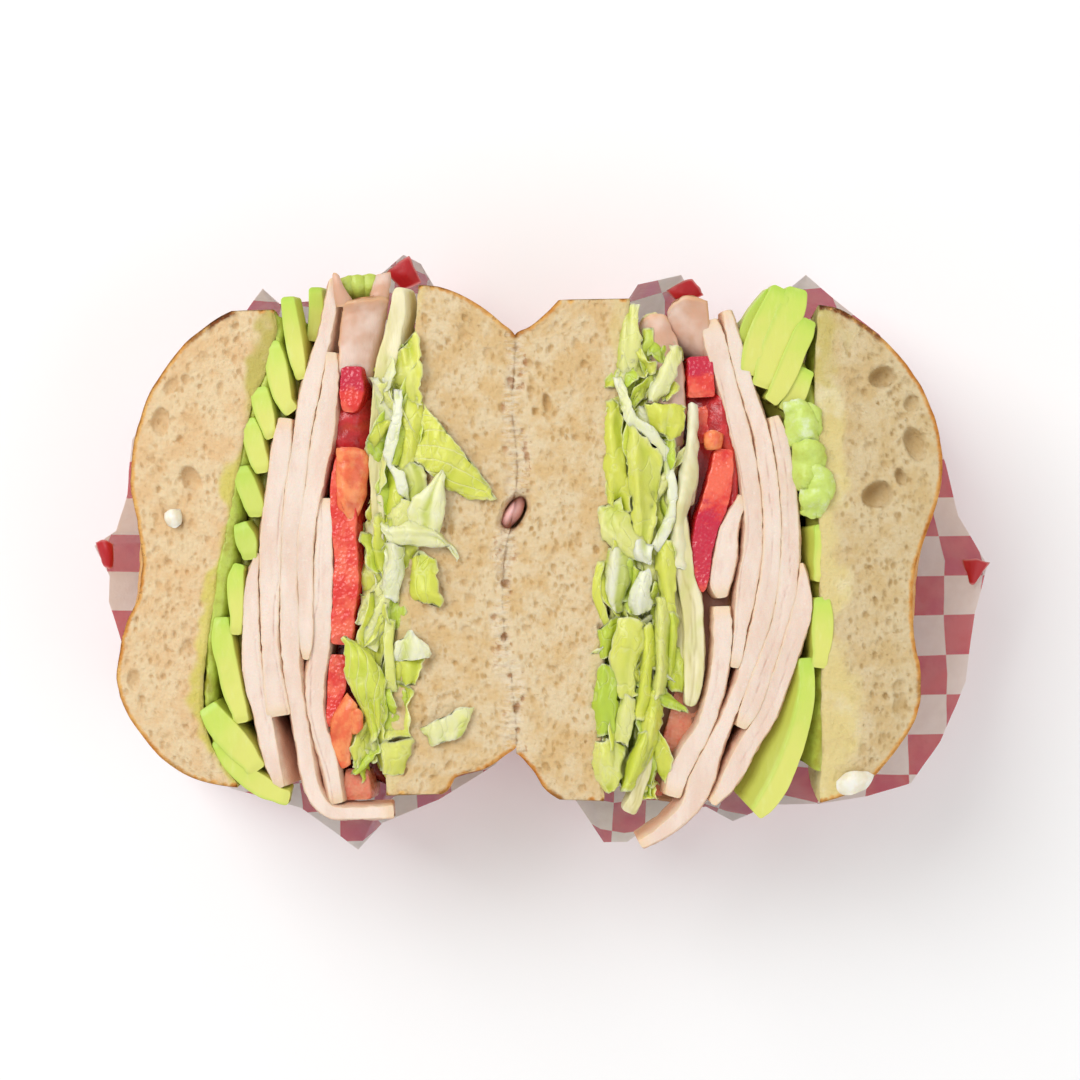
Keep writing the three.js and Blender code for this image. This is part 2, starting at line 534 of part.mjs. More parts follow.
// Fillings are trimmed to the room between their breads, and each gives way to those before it.
const rooms = {
  left: fillingRoom(breads.crown_left.face, breads.heel_left.face),
  right: fillingRoom(breads.heel_right.face, breads.crown_right.face),
};
const taken = [];
function addFilling(name, shape, swollen, finish) {
  let trimmed = shape.intersect(name.includes("left") ? rooms.left : rooms.right);
  for (const other of taken) trimmed = trimmed.subtract(other);
  addNode(name, largest(trimmed), finish);
  if (swollen) taken.push(swollen);
}
function addSlices(kind, slices) {
  for (const [name, slice] of Object.entries(slices)) {
    const swollen = solid(sliceGeometry(slice, clearance));
    addFilling(`${kind}_${name}`, solid(sliceGeometry(slice)), swollen, kind);
  }
}
addSlices("turkey", turkeySlices);
addSlices("avocado", avocadoSlices);
addSlices("tomato", tomatoPieces);
addSlices("rib", ribs);
for (const [name, lettuce] of Object.entries(lettuces))
  addFilling(`lettuce_${name}`, lettuceSolid(lettuce), null, "lettuce");
for (const [name, leaf] of Object.entries(leaves)) addNode(`leaf_${name}`, leafSolid(leaf), "lettuce");
addNode("paper", paperSolid(), "paper");

export default sandwich;
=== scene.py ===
import math

import bpy
import numpy as np
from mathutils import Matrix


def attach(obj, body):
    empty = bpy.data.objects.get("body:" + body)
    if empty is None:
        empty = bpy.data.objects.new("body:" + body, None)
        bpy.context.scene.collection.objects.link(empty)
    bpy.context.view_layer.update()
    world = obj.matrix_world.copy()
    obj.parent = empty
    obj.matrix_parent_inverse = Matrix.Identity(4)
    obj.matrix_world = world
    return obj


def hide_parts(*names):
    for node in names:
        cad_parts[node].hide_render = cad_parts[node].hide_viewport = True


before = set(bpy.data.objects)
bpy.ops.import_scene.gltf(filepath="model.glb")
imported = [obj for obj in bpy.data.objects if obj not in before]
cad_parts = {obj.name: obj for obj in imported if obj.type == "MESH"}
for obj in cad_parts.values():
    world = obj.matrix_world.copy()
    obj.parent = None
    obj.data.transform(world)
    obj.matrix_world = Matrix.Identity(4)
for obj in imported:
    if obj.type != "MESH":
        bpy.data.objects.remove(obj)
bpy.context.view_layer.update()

cutHeight = 58.0  # level of the cut faces above the table; every length here is in millimetres
toMetres = 0.001
noiseKeys = (73856093, 19349663, 83492791, 26544357)  # large odd numbers that stir the bits
stirKeys = (1274126177, 2246822519)


def cornerValue(ix, iy, iz, seed):
    # a fixed random value from -1 to 1 for each corner of a grid
    a, b, c, d = noiseKeys
    h = (ix * a) ^ (iy * b) ^ (iz * c) ^ (seed * d)
    h = ((h ^ (h >> 13)) * stirKeys[0]) & 0xFFFFFFFF
    h = ((h ^ (h >> 15)) * stirKeys[1]) & 0xFFFFFFFF
    return ((h ^ (h >> 16)) & 0xFFFFFF) / 8388607.5 - 1


def softNoise(points, size, seed=0):
    # smooth noise from -1 to 1, with lumps about size across
    p = np.asarray(points, float).reshape(-1, 3) / np.asarray(size, float)
    cell = np.floor(p).astype(np.int64)
    f = p - cell
    f = f * f * (3 - 2 * f)
    total = np.zeros(len(p))
    for dx in (0, 1):
        for dy in (0, 1):
            for dz in (0, 1):
                weight = (f[:, 0] if dx else 1 - f[:, 0]) * (f[:, 1] if dy else 1 - f[:, 1])
                weight = weight * (f[:, 2] if dz else 1 - f[:, 2])
                total += weight * cornerValue(cell[:, 0] + dx, cell[:, 1] + dy, cell[:, 2] + dz, seed)
    return total.reshape(np.asarray(points).shape[:-1])


def roughNoise(points, size, seed=0, octaves=3, gain=0.55):
    # soft noise with finer and weaker noise on top
    total, strength, reach = 0, 1.0, 0.0
    for i in range(octaves):
        total = total + strength * softNoise(points, np.asarray(size, float) / 2.03 ** i, seed + 17 * i)
        reach += strength
        strength *= gain
    return total / reach


def cellNoise(points, size, seed=0):
    # distance from each point to the nearest of scattered seeds in plan, 0 at a seed, about 1 far off
    p = np.asarray(points, float)[..., :2] / size
    flat = p.reshape(-1, 2)
    cell = np.floor(flat).astype(np.int64)
    near = np.full(len(flat), 9.0)
    for dx in (-1, 0, 1):
        for dy in (-1, 0, 1):
            cx, cy = cell[:, 0] + dx, cell[:, 1] + dy
            sx = cx + 0.5 + 0.45 * cornerValue(cx, cy, 0 * cx, seed)
            sy = cy + 0.5 + 0.45 * cornerValue(cx, cy, 0 * cx + 7, seed)
            near = np.minimum(near, np.hypot(flat[:, 0] - sx, flat[:, 1] - sy))
    return near.reshape(p.shape[:-1])


def ease(x, low=0.0, high=1.0):
    t = np.clip((np.asarray(x, float) - low) / (high - low), 0, 1)
    return t * t * (3 - 2 * t)


def curveThrough(points, step):
    # a smooth curve through rows of numbers, sampled evenly in plan about every step
    p = np.asarray(points, float)
    p = np.vstack([2 * p[0] - p[1], p, 2 * p[-1] - p[-2]])
    samples = 24  # between two given points, before the even sampling
    pieces = []
    for i in range(1, len(p) - 2):
        a, b, c, d = p[i - 1:i + 3]
        knots = [0.0]
        for q, r in ((a, b), (b, c), (c, d)):
            knots.append(knots[-1] + max(1e-3, np.linalg.norm((r - q)[:2])) ** 0.5)
        k0, k1, k2, k3 = knots
        t = np.linspace(k1, k2, samples, endpoint=i == len(p) - 3)[:, None]
        mix = lambda q, r, u, v: q * (v - t) / (v - u) + r * (t - u) / (v - u)
        ab, bc, cd = mix(a, b, k0, k1), mix(b, c, k1, k2), mix(c, d, k2, k3)
        pieces.append(mix(mix(ab, bc, k0, k2), mix(bc, cd, k1, k3), k1, k2))
    dense = np.vstack(pieces)
    run = np.concatenate([[0], np.cumsum(np.linalg.norm(np.diff(dense[:, :2], axis=0), axis=1))])
    places = np.linspace(0, run[-1], max(4, int(round(run[-1] / step)) + 1))
    return np.stack([np.interp(places, run, dense[:, k]) for k in range(dense.shape[1])], 1), places


def newShell():
    return {"points": [], "quads": [], "tris": [], "values": {}, "count": 0, "uv": []}


def addGrid(shell, points, wrap=False, caps=False, flip=False, uv=None, **values):
    # faces between rows of points; values are numbers that each point carries for its finish
    rows, cols = points.shape[:2]
    start = shell["count"]
    index = start + np.arange(rows * cols).reshape(rows, cols)
    right = np.roll(index, -1, axis=1) if wrap else index[:, 1:]
    left = index if wrap else index[:, :-1]
    quads = np.stack([left[:-1], right[:-1], right[1:], left[1:]], -1).reshape(-1, 4)
    shell["quads"].append(quads[:, ::-1] if flip else quads)
    shell["points"].append(points.reshape(-1, 3))
    size = rows * cols
    if caps:  # a fan over each end
        ends = np.stack([points[0].mean(0), points[-1].mean(0)])
        shell["points"].append(ends)
        for row, hub, turn in ((index[0], start + size, 1), (index[-1], start + size + 1, -1)):
            fan = np.stack([row, np.full(cols, hub), np.roll(row, -1)], -1)
            shell["tris"].append(fan[:, ::-turn] if not flip else fan[:, ::turn])
        size += 2
    for name in set(shell["values"]) | set(values):
        known = shell["values"].setdefault(name, [])
        have = sum(len(v) for v in known)
        if have < start:
            known.append(np.zeros(start - have))
        if name in values:
            v = np.broadcast_to(values[name], (rows, cols)).reshape(-1)
            known.append(np.concatenate([v, [v[0], v[-1]]]) if caps else v)
        else:
            known.append(np.zeros(size))
    if uv is not None:
        shell["uv"].append(uv.reshape(-1, 2))
    shell["count"] += size


def addMesh(shell, name):
    points = np.vstack(shell["points"]) * toMetres
    quads = np.vstack(shell["quads"])
    tris = np.vstack(shell["tris"]) if shell["tris"] else np.zeros((0, 3), int)
    mesh = bpy.data.meshes.new(name)
    mesh.vertices.add(len(points))
    mesh.vertices.foreach_set("co", points.astype(np.float32).ravel())
    corners = np.concatenate([quads.ravel(), tris.ravel()]).astype(np.int32)
    mesh.loops.add(len(corners))
    mesh.loops.foreach_set("vertex_index", corners)
    sizes = np.concatenate([np.full(len(quads), 4), np.full(len(tris), 3)]).astype(np.int32)
    starts = np.concatenate([[0], np.cumsum(sizes)[:-1]]).astype(np.int32)
    mesh.polygons.add(len(sizes))
    mesh.polygons.foreach_set("loop_start", starts)
    mesh.polygons.foreach_set("loop_total", sizes)
    mesh.polygons.foreach_set("use_smooth", np.ones(len(sizes), bool))
    if shell["uv"]:
        flat = np.vstack(shell["uv"])[corners]
        mesh.uv_layers.new(name="sheet").data.foreach_set("uv", flat.astype(np.float32).ravel())
    for key, parts in shell["values"].items():
        data = np.concatenate(parts)
        data = np.concatenate([data, np.zeros(len(points) - len(data))])
        mesh.attributes.new(key, "FLOAT", "POINT").data.foreach_set("value", data.astype(np.float32))
    mesh.update(calc_edges=True)
    mesh.validate()
    return mesh


def shellObject(shell, name, material, slot, replaced=()):
    mesh = addMesh(shell, name)
    mesh.materials.append(material)
    piece = bpy.data.objects.new(name, mesh)
    bpy.context.scene.collection.objects.link(piece)
    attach(piece, "root")
    if replaced:
        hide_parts(*replaced)
    print("made", name, len(mesh.vertices), "points")
    return piece


def readValues(mesh, name):
    data = np.zeros(len(mesh.vertices), np.float32)
    mesh.attributes[name].data.foreach_get("value", data)
    return data


def shade(hexColor):
    # a colour as it looks in the photo, turned into Blender's linear values
    parts = [int(hexColor[i:i + 2], 16) / 255 for i in (0, 2, 4)]
    return tuple(p / 12.92 if p < 0.04045 else ((p + 0.055) / 1.055) ** 2.4 for p in parts)


class Nodes:
    # short names for the nodes that the finishes below are built from; a colour is a hex text or a socket
    def __init__(self, name):
        self.material = bpy.data.materials.new(name)
        self.material.use_nodes = True
        self.tree = self.material.node_tree
        self.shader = self.tree.nodes["Principled BSDF"]
        self.place = self.tree.nodes.new("ShaderNodeTexCoord").outputs["Object"]

    def put(self, socket, value):
        if isinstance(value, bpy.types.NodeSocket):
            self.tree.links.new(value, socket)
        elif isinstance(value, str):
            socket.default_value = (*shade(value), 1)
        else:
            socket.default_value = value

    def value(self, name):
        node = self.tree.nodes.new("ShaderNodeAttribute")
        node.attribute_name = name
        return node.outputs["Fac"]

    def math(self, how, a, b=0.0, clamp=False):
        node = self.tree.nodes.new("ShaderNodeMath")
        node.operation = how
        node.use_clamp = clamp
        self.put(node.inputs[0], a)
        self.put(node.inputs[1], b)
        return node.outputs[0]

    def plus(self, a, b):
        return self.math("ADD", a, b)

    def times(self, a, b):
        return self.math("MULTIPLY", a, b)

    def both(self, a, b):
        return self.math("MULTIPLY", a, b, clamp=True)

    def stretch(self, by):
        node = self.tree.nodes.new("ShaderNodeVectorMath")
        node.operation = "MULTIPLY"
        self.put(node.inputs[0], self.place)
        node.inputs[1].default_value = by
        return node.outputs[0]

    def noise(self, size, detail, rough, where=None, warp=0.0):
        # size is how wide a lump is, in millimetres
        node = self.tree.nodes.new("ShaderNodeTexNoise")
        self.put(node.inputs["Vector"], where or self.place)
        node.inputs["Scale"].default_value = 1000 / size
        node.inputs["Detail"].default_value = detail
        node.inputs["Roughness"].default_value = rough
        node.inputs["Distortion"].default_value = warp
        return node.outputs["Fac"]

    def cells(self, size, where=None):
        node = self.tree.nodes.new("ShaderNodeTexVoronoi")
        self.put(node.inputs["Vector"], where or self.place)
        node.inputs["Scale"].default_value = 1000 / size
        return node.outputs["Distance"]

    def ramp(self, source, low, high, fromValue=0.0, toValue=1.0):
        node = self.tree.nodes.new("ShaderNodeMapRange")
        node.interpolation_type = "SMOOTHSTEP"
        names = ("Value", "From Min", "From Max", "To Min", "To Max")
        for name, value in zip(names, (source, low, high, fromValue, toValue)):
            self.put(node.inputs[name], value)
        return node.outputs["Result"]

    def patches(self, noise, low, high, fromValue=0.0, toValue=1.0):
        # soft patches from a noise of this size, detail and roughness, and maybe a stretch
        return self.ramp(self.noise(*noise), low, high, fromValue, toValue)

    def ragged(self, source, noise, by):
        # a value whose border frays, by adding noise around zero
        return self.plus(source, self.times(self.math("SUBTRACT", self.noise(*noise), 0.5), by))

    def mix(self, share, a, b):
        node = self.tree.nodes.new("ShaderNodeMix")
        node.data_type = "RGBA"
        self.put(node.inputs["Factor"], share)
        self.put(node.inputs[6], a)
        self.put(node.inputs[7], b)
        return node.outputs[2]

    def over(self, color, share, top, strength=None):
        # the colour top laid over another where share says so, with at most this strength
        return self.mix(share if strength is None else self.times(share, strength), color, top)

    def bump(self, height, depth, strength):
        node = self.tree.nodes.new("ShaderNodeBump")
        node.inputs["Strength"].default_value = strength
        node.inputs["Distance"].default_value = depth * toMetres
        self.put(node.inputs["Height"], height)
        return node.outputs["Normal"]

    def finish(self, color, rough, normal=None, glow=0.0, radius=(1.5, 0.8, 0.4), shine=0.5):
        self.put(self.shader.inputs["Base Color"], color)
        self.put(self.shader.inputs["Roughness"], rough)
        if normal:
            self.put(self.shader.inputs["Normal"], normal)
        self.shader.inputs["Specular IOR Level"].default_value = shine
        self.shader.inputs["Subsurface Weight"].default_value = glow
        self.shader.inputs["Subsurface Radius"].default_value = [r * toMetres for r in radius]
        self.shader.inputs["Subsurface Scale"].default_value = 1.0
        return self.material


# Each half has the outline of its cut face from its far end to its near end: the inner side, where the
# filling lies, and the outer side with the crust. Its waist is where the ring's two lobes meet, spread is how
# far from the filling the smear starts to fade and ends, a pore is x, y, half width, half height and depth.
crownLeft = {
    "inner": [(-58.8, 52.6), (-58.4, 48.5), (-60.2, 41), (-64.2, 31), (-66.6, 19), (-70.4, -2),
        (-73.2, -18), (-74.6, -32), (-73.6, -40), (-70.6, -46.5), (-67, -51)],
    "outer": [(-58.8, 53.6), (-62.6, 54.7), (-70, 52.4), (-77.5, 46.9), (-83.9, 38.9), (-87.9, 31),
        (-90, 22), (-90.3, 15), (-89, 6.5), (-87.7, -2.5), (-89, -10), (-91.6, -16.5), (-93.1, -24),
        (-93.3, -29), (-91.4, -35), (-87.9, -40.3), (-83.3, -45.5), (-77.6, -49.2), (-71.6, -51),
        (-67, -51.6)],
    "waistY": -5.0,
    "spread": (0.3, 3.8),
    "pores": [(-74, 42.7, 1.8, 1.8, 0.3), (-81.5, 36.7, 1.6, 2, 0.6), (-75.1, 36.5, 0.8, 0.9, 0.7),
        (-70.7, 36.1, 0.9, 1.8, 0.6), (-83.9, 28.8, 2.1, 3.2, 0.7), (-77.5, 29.5, 1.3, 1, 0.4),
        (-77.1, 16.3, 2.3, 3, 0.8), (-76, 32.6, 0.6, 0.6, 0.8), (-77.5, -20.5, 1.9, 1.6, 0.5),
        (-89.7, -27.9, 1.4, 2.6, 0.7), (-82.4, -40.5, 1.1, 0.9, 0.4), (-73.4, -5.5, 0.4, 0.4, 1)],
}
crownRight = {
    "inner": [(61.2, 53.8), (60.6, 47), (60.4, 30), (61.2, 8), (61.6, -20), (61.8, -45), (61.4, -54.2)],
    "outer": [(61.2, 54.6), (65.4, 53.8), (70.7, 50.6), (77.3, 45.1), (83.3, 37.2), (86.6, 29.3),
        (88.2, 21), (87.6, 13.4), (85.2, 5.5), (82.6, -2.4), (81.7, -10), (82, -18.3), (83.2, -25),
        (83.2, -34), (80.8, -39.4), (77, -44.7), (73, -49.4), (67.6, -53), (61.4, -55)],
    "waistY": -10.0,
    "spread": (3.2, 8.2),
    "pores": [(75.1, 38.7, 3, 2.6, 1), (81.5, 33, 1.9, 2, 0.7), (79.5, 30.1, 1.2, 1, 0.6),
        (82.2, 24, 2.6, 3.7, 0.9), (79.1, 16.7, 1.3, 2.2, 1.3), (74, 12.8, 3.4, 3.3, 1),
        (69.2, 37.6, 2, 1.3, 0.3), (69.8, 31.7, 1.1, 1.1, 0.3), (73.2, 23.5, 1.3, 1.1, 0.3),
        (78.7, -29.3, 1.5, 1.8, 0.5), (79.1, -34.1, 2, 2.8, 0.4), (76.7, -12.3, 1.1, 0.9, 0.4),
        (76.9, -2, 0.9, 0.9, 0.5), (74.5, -27.5, 0.9, 0.7, 0.5), (65.5, -13.9, 0.8, 0.7, 0.5)],
}
heelLeft = {
    "inner": [(-27.2, 58), (-27.6, 52), (-29.4, 24), (-31.4, -4), (-33.4, -36), (-34.2, -52.6)],
    "outer": [(-27.2, 59), (-24.5, 59), (-18.6, 57.2), (-12.7, 53.8), (-8.7, 50.6), (-5.9, 48.2), (-2, 36),
        (-1, 9), (-3, -30), (-5, -42), (-8, -44.6), (-12.7, -47.6), (-18.6, -49.4), (-21, -52.6),
        (-27, -54.3), (-34.2, -53.4)],
    "waistY": 9.0,
    "spread": (0.2, 3.0),
}
heelRight = {
    "inner": [(19.4, 55.2), (18.6, 48), (16.4, 20), (14.8, -6), (13.4, -36), (13.6, -53.6)],
    "outer": [(19.4, 56), (14, 56.6), (5.2, 56.6), (1.2, 53), (-2.6, 49.8), (-5.9, 48.0), (-9, 36),
        (-10, 9), (-9, -30), (-7, -43), (-4.6, -44.6), (-2, -47.6), (1.2, -52.4), (5.2, -54.8), (11, -55.6),
        (13.6, -54.6)],
    "waistY": 9.0,
    "spread": (0.2, 3.0),
}
heelPores = [
    (-17.1, 47.7, 1.3, 1.5, 0.5), (7.6, 46, 1.1, 1.3, 0.5), (9.6, 50.2, 1.1, 0.9, 0.5),
    (14.2, 52.1, 1.1, 0.9, 0.4), (5.2, 49.9, 0.8, 0.8, 0.5), (1.2, 33, 1.1, 2.2, 1.2),
    (-1.4, 31.2, 0.9, 0.9, 1), (-6.7, 37.8, 1, 1.3, 0.7), (-3, 41.8, 1.3, 1.1, 0.8),
    (-11.8, 44.2, 1.1, 1.3, 0.5), (-10.4, 39.8, 1, 0.9, 0.5), (3.2, 37.8, 1, 0.9, 0.5),
    (7.2, 35.2, 0.9, 0.9, 0.5), (-15.1, 28.2, 0.6, 1.5, 0.7), (-20.6, -4.6, 1, 0.9, 0.5),
    (-15.7, -9.9, 1.4, 1.2, 0.5), (-19, -11, 1, 0.8, 0.5), (-12.7, 0.7, 1.2, 1, 0.5),
    (-16.6, -16.9, 1.1, 1.3, 0.5), (-25, -24.9, 1.2, 2.1, 0.6), (-3.2, -16.7, 1.5, 0.9, 0.6),
    (6.9, -20.7, 1, 1.3, 0.5), (3, -38.1, 0.4, 1.3, 0.6), (4.7, -39.6, 0.4, 1.1, 0.6),
    (8.9, -51.7, 1.1, 0.9, 0.6), (9.8, -41.6, 0.4, 0.4, 1.3), (-27.8, -42.7, 0.4, 0.4, 1.3),
    (-7.8, -6.8, 1, 1.3, 0.8), (-8.2, -18.5, 0.9, 1.3, 0.9), (-5.4, -34.1, 0.9, 1.3, 0.9),
    (-8, 22.7, 0.8, 1.3, 0.8), (-3.6, 22.7, 0.8, 0.9, 0.8), (-2.6, 41.8, 0.8, 1.3, 0.9),
    (-0.6, 40.9, 0.8, 0.6, 0.9), (-6.8, 38.1, 0.7, 0.8, 1), (-6.4, 36.5, 0.6, 0.7, 0.8),
    (-5, 36.3, 0.9, 0.6, 0.8), (-2.3, 35.9, 0.9, 1.1, 0.9), (-3.2, 21.1, 0.8, 1.3, 0.9),
    (-8.1, 19.1, 0.6, 0.9, 0.8), (-9, 0.5, 0.5, 0.7, 0.8), (-6.9, -27, 0.6, 0.8, 0.8),
    (-5.1, -39, 0.6, 0.9, 0.8), (-0.4, 10.4, 0.9, 0.6, 0.8),
]
crumb = {
    "spacing": 0.35,        # between the points of a cut face
    "columns": 74,          # points across a cut face
    "poresPerCm2": 36,      # small pores, besides the big ones named above
    "poreRadius": (0.22, 0.85),
    "graininess": 0.16,     # height of the fine grain
    "unevenness": 0.35,     # height of the slow waves that the knife leaves
    "edgeRound": 0.7,       # how far in from the crust the face starts to drop
    "crustLumps": 0.45,     # height of the blisters on the crust
    "floor": 1.3,           # how far the crust stays above the table
    "seeds": {"crownLeft": 101, "crownRight": 202, "heelLeft": 303, "heelRight": 404},
}
seam = {  # where the heel's halves meet, with the bagel's hole in it and torn crumb along it
    "curve": [(-5.9, 60), (-5.9, 44), (-6.6, 32), (-5.4, 20), (-6.2, 9), (-8.4, -2), (-8.2, -18), (-6.6, -28),
        (-5.6, -40), (-6, -60)],
    "hole": (-5.9, 8.8), "holeSize": (2.5, 4.2), "holeTurn": (0.5, 0.866), "holeDepth": 8,
    "tornWidth": 3.4, "tornDepth": 0.55, "poreSeed": 308,
}


def xAt(outline, y):
    # where an outline is at y: it may only run from the far end to the near end
    curve, _ = curveThrough(outline, 0.25)
    order = np.argsort(curve[:, 1])
    return np.interp(y, curve[order, 1], curve[order, 0])


def innerAt(half, y):
    return xAt(half["inner"], np.clip(y, half["inner"][-1][1], half["inner"][0][1]))


def poreField(x, y, pores, seed):
    # how far the pores sink each point in mm, and how much painted shade darkens it, from 0 to 1
    draw = np.random.default_rng(seed)
    drop, dark = np.zeros(x.shape), np.zeros(x.shape)
    flatX, flatY = x.ravel(), y.ravel()
    order = np.argsort(flatY)
    sortedY = flatY[order]
    for px, py, a, b, deep in pores:
        turn, phase = draw.uniform(-0.5, 0.5), draw.uniform(0, 6.28)
        big = max(a, b) * 1.35
        near = order[np.searchsorted(sortedY, py - big):np.searchsorted(sortedY, py + big)]
        near = near[np.abs(flatX[near] - px) < big]
        if not len(near):
            continue
        dx, dy = flatX[near] - px, flatY[near] - py
        u = (dx * math.cos(turn) + dy * math.sin(turn)) / a
        v = (-dx * math.sin(turn) + dy * math.cos(turn)) / b
        angle = np.arctan2(v, u)
        uneven = 1 + 0.09 * np.sin(2 * angle + phase) + 0.035 * np.sin(3 * angle + 2 * phase)
        r = np.hypot(u, v) * uneven
        bowl = np.sqrt(np.clip(1 - r ** 2, 0, 1)) * ease(1.0 - r, 0, 0.12)
        drop.ravel()[near] = np.maximum(drop.ravel()[near], bowl * deep * min(a, b) * 1.05)
        # painted shade: the wall on the side of the light is the darker one
        shaded = 0.78 + 0.3 * (dy - dx) / max(a, b)
        dark.ravel()[near] = np.maximum(dark.ravel()[near], bowl ** 0.6 * shaded * min(1.0, 0.3 + 0.7 * deep))
    return drop, dark


def smallPores(low, high, keep, seed):
    # scattered pores: many small ones, a few larger, most of them a little longer than wide
    draw = np.random.default_rng(seed)
    area = (high[0] - low[0]) * (high[1] - low[1])
    least, most = crumb["poreRadius"]
    made = []
    for _ in range(int(area / 100 * crumb["poresPerCm2"])):
        x, y = draw.uniform(low[0], high[0]), draw.uniform(low[1], high[1])
        r = least + (most - least) * draw.random() ** 3.2
        if keep(x, y):
            wide, long = r * draw.uniform(0.75, 1.2), r * draw.uniform(0.9, 1.7)
            made.append((x, y, wide, long, draw.uniform(0.35, 0.9)))
    return made


def breadRows(half):
    # where the rows of a half lie: whole steps, so that both halves meet point to point along the seam
    far, near = half["outer"][0][1], half["outer"][-1][1]
    tight = 2.2  # length of the closer rows at each end
    first = math.ceil((near + tight + 0.3) / crumb["spacing"])
    last = math.ceil((far - tight - 0.2) / crumb["spacing"])
    ends = tight * (1 - np.cos(np.linspace(0, math.pi / 2, 12)))
    return np.concatenate([near + ends, np.arange(first, last) * crumb["spacing"], far - ends[::-1]])


def breadDome(half, side):
    # how far the dome stands out from the inner face, and how deep it goes at each row
    far, near, waist = half["outer"][0][1], half["outer"][-1][1], half["waistY"]
    rim, shift = (far - near) / 2, (far + near) / 2 - waist
    deep = (cutHeight - crumb["floor"]) / rim
    share = np.linspace(0, 1, 200)

    def thickness(y):
        return np.maximum(0, side * (xAt(half["outer"], y) - innerAt(half, y)))

    def rimAt(turn):
        return shift * np.cos(turn) + np.sqrt(rim ** 2 - (shift * np.sin(turn)) ** 2)

    farLobe, nearLobe = thickness(waist + share * (far - waist)), thickness(waist - share * (waist - near))
    farLobe[-1] = nearLobe[-1] = 0

    def reachOut(y, down):
        turn = np.arctan2(np.abs(down) / deep, y - waist)
        s = np.clip(np.hypot(down / deep, y - waist) / rimAt(turn), 0, 1)
        lobe = ease(turn / math.pi)
        return (1 - lobe) * np.interp(s, share, farLobe) + lobe * np.interp(s, share, nearLobe)

    def depthAt(y):
        turns = np.linspace(0, math.pi, 400)
        most = rimAt(turns)
        return np.interp(y, (waist + most * np.cos(turns))[::-1], (most * np.sin(turns) * deep)[::-1])

    return reachOut, depthAt


def distanceTo(line, x, y):
    # how far each point of the face is from the crust, row block by row block
    distance = np.full(x.shape, 99.0)
    block, reach = 20, 14
    for a in range(0, len(x), block):
        points = np.stack([x[a:a + block].ravel(), y[a:a + block].ravel()], -1)
        window = line[np.abs(line[:, 1] - y[min(a + block // 2, len(y) - 1), 0]) < reach]
        if len(window):
            d = np.sqrt(((points[:, None] - window[None, ::2]) ** 2).sum(-1)).min(1)
            distance[a:a + block] = d.reshape(x[a:a + block].shape)
    return distance


def seamRelief(place):
    # torn crumb along the seam and the bagel's hole: the lift, then both as shares from 0 to 1
    x, y = place[..., 0], place[..., 1]
    seamDist = np.abs(x - xAt(seam["curve"], y[:, 0])[:, None] + 1.6 * softNoise(place, 5.1, 77))
    torn = 1 - ease(seamDist, 0.35 * seam["tornWidth"], seam["tornWidth"])
    fibres = roughNoise(place * np.array([0.45, 1.6, 1.0]), 1.5, 55, 3)
    lift = seam["tornDepth"] * torn * (1.5 * fibres - 0.25 + 0.5 * softNoise(place, 4.2, 12))
    (hx, hy), (tx, ty), (wide, long) = seam["hole"], seam["holeTurn"], seam["holeSize"]
    r = np.hypot(((x - hx) * ty - (y - hy) * tx) / wide, ((x - hx) * tx + (y - hy) * ty) / long)
    r = r * (1 + 0.09 * softNoise(place, 2.2, 31))
    hole = 1 - ease(r, 0.72, 1.0)
    lift -= seam["holeDepth"] * hole + 1.6 * (1 - ease(r, 0.8, 1.45)) * (1 - hole)
    return lift, torn, hole


def cutFace(half, place, inner, outer, edge, pores, seed, grainSeed):
    # the cut: how far each point lies above or below it, and the values that its finish reads; edge is where
    # the seam lies at each row, in a half that has one
    x, y = place[..., 0], place[..., 1]
    atSeam = edge is not None
    crusty = np.abs(outer - edge) > 0.02 if atSeam else np.ones(len(outer), bool)
    crustDist = distanceTo(np.stack([outer, y[:, 0]], -1)[crusty], x, y)
    innerDist = np.abs(x - inner[:, None])
    keep = lambda a, b: not atSeam or abs(a - xAt(seam["curve"], b)) > 1.3
    scattered = smallPores((x.min(), y.min()), (x.max(), y.max()), keep, seed)
    # dark is the painted shade of the pores
    drop, dark = poreField(x, y, pores + scattered, seam["poreSeed"] if atSeam else seed + 5)
    drop, dark = [v * ease(crustDist, 0.5, 1.6) for v in (drop, dark)]
    unevenDist = innerDist + 3 * softNoise(place, 8, seed + 21) + softNoise(place, 2.5, seed + 22)
    smear = 1 - ease(unevenDist, *half["spread"])
    drop = drop * (1 - 0.8 * smear)
    dark = dark * (1 - 0.85 * smear)
    between = 1 - ease(cellNoise(place, 1.15, grainSeed + 2), 0.1, 0.6)
    grain = roughNoise(place, 0.9, grainSeed + 1, 2) - 0.9 * between
    grain = (1 - 0.6 * smear) * crumb["graininess"] * grain
    z = crumb["unevenness"] * roughNoise(place, 11, grainSeed + 3, 3) + grain - drop
    z -= 0.55 * (1 - ease(crustDist, 0, crumb["edgeRound"])) + 0.5 * (1 - ease(innerDist, 0, 0.8))
    marks = {"rind": ease(crustDist, 0.15, 1.7), "pore": dark, "filling": smear}
    if atSeam:
        lift, marks["torn"], marks["pit"] = seamRelief(place)
        z += lift
        marks["seamLine"] = np.zeros(x.shape)
        marks["seamLine"][:, -1] = 1
    return z, marks


def roughenCrust(dome, edge, side, seed):
    # lumps and small wrinkles, none right at the cut or at the seam
    below = cutHeight - dome[..., 2]
    lumps = crumb["crustLumps"] * roughNoise(dome, 6.5, seed + 8, 3)
    lumps = (lumps + 0.12 * roughNoise(dome, 1.6, seed + 9, 2)) * ease(below, 0, 3)
    if edge is not None:
        lumps = lumps * ease(np.abs(dome[..., 0] - edge[:, None]), 0, 2)
    dome[..., 0] += side * lumps
    dome[..., 2] -= 0.25 * ease(below, 0, 2)


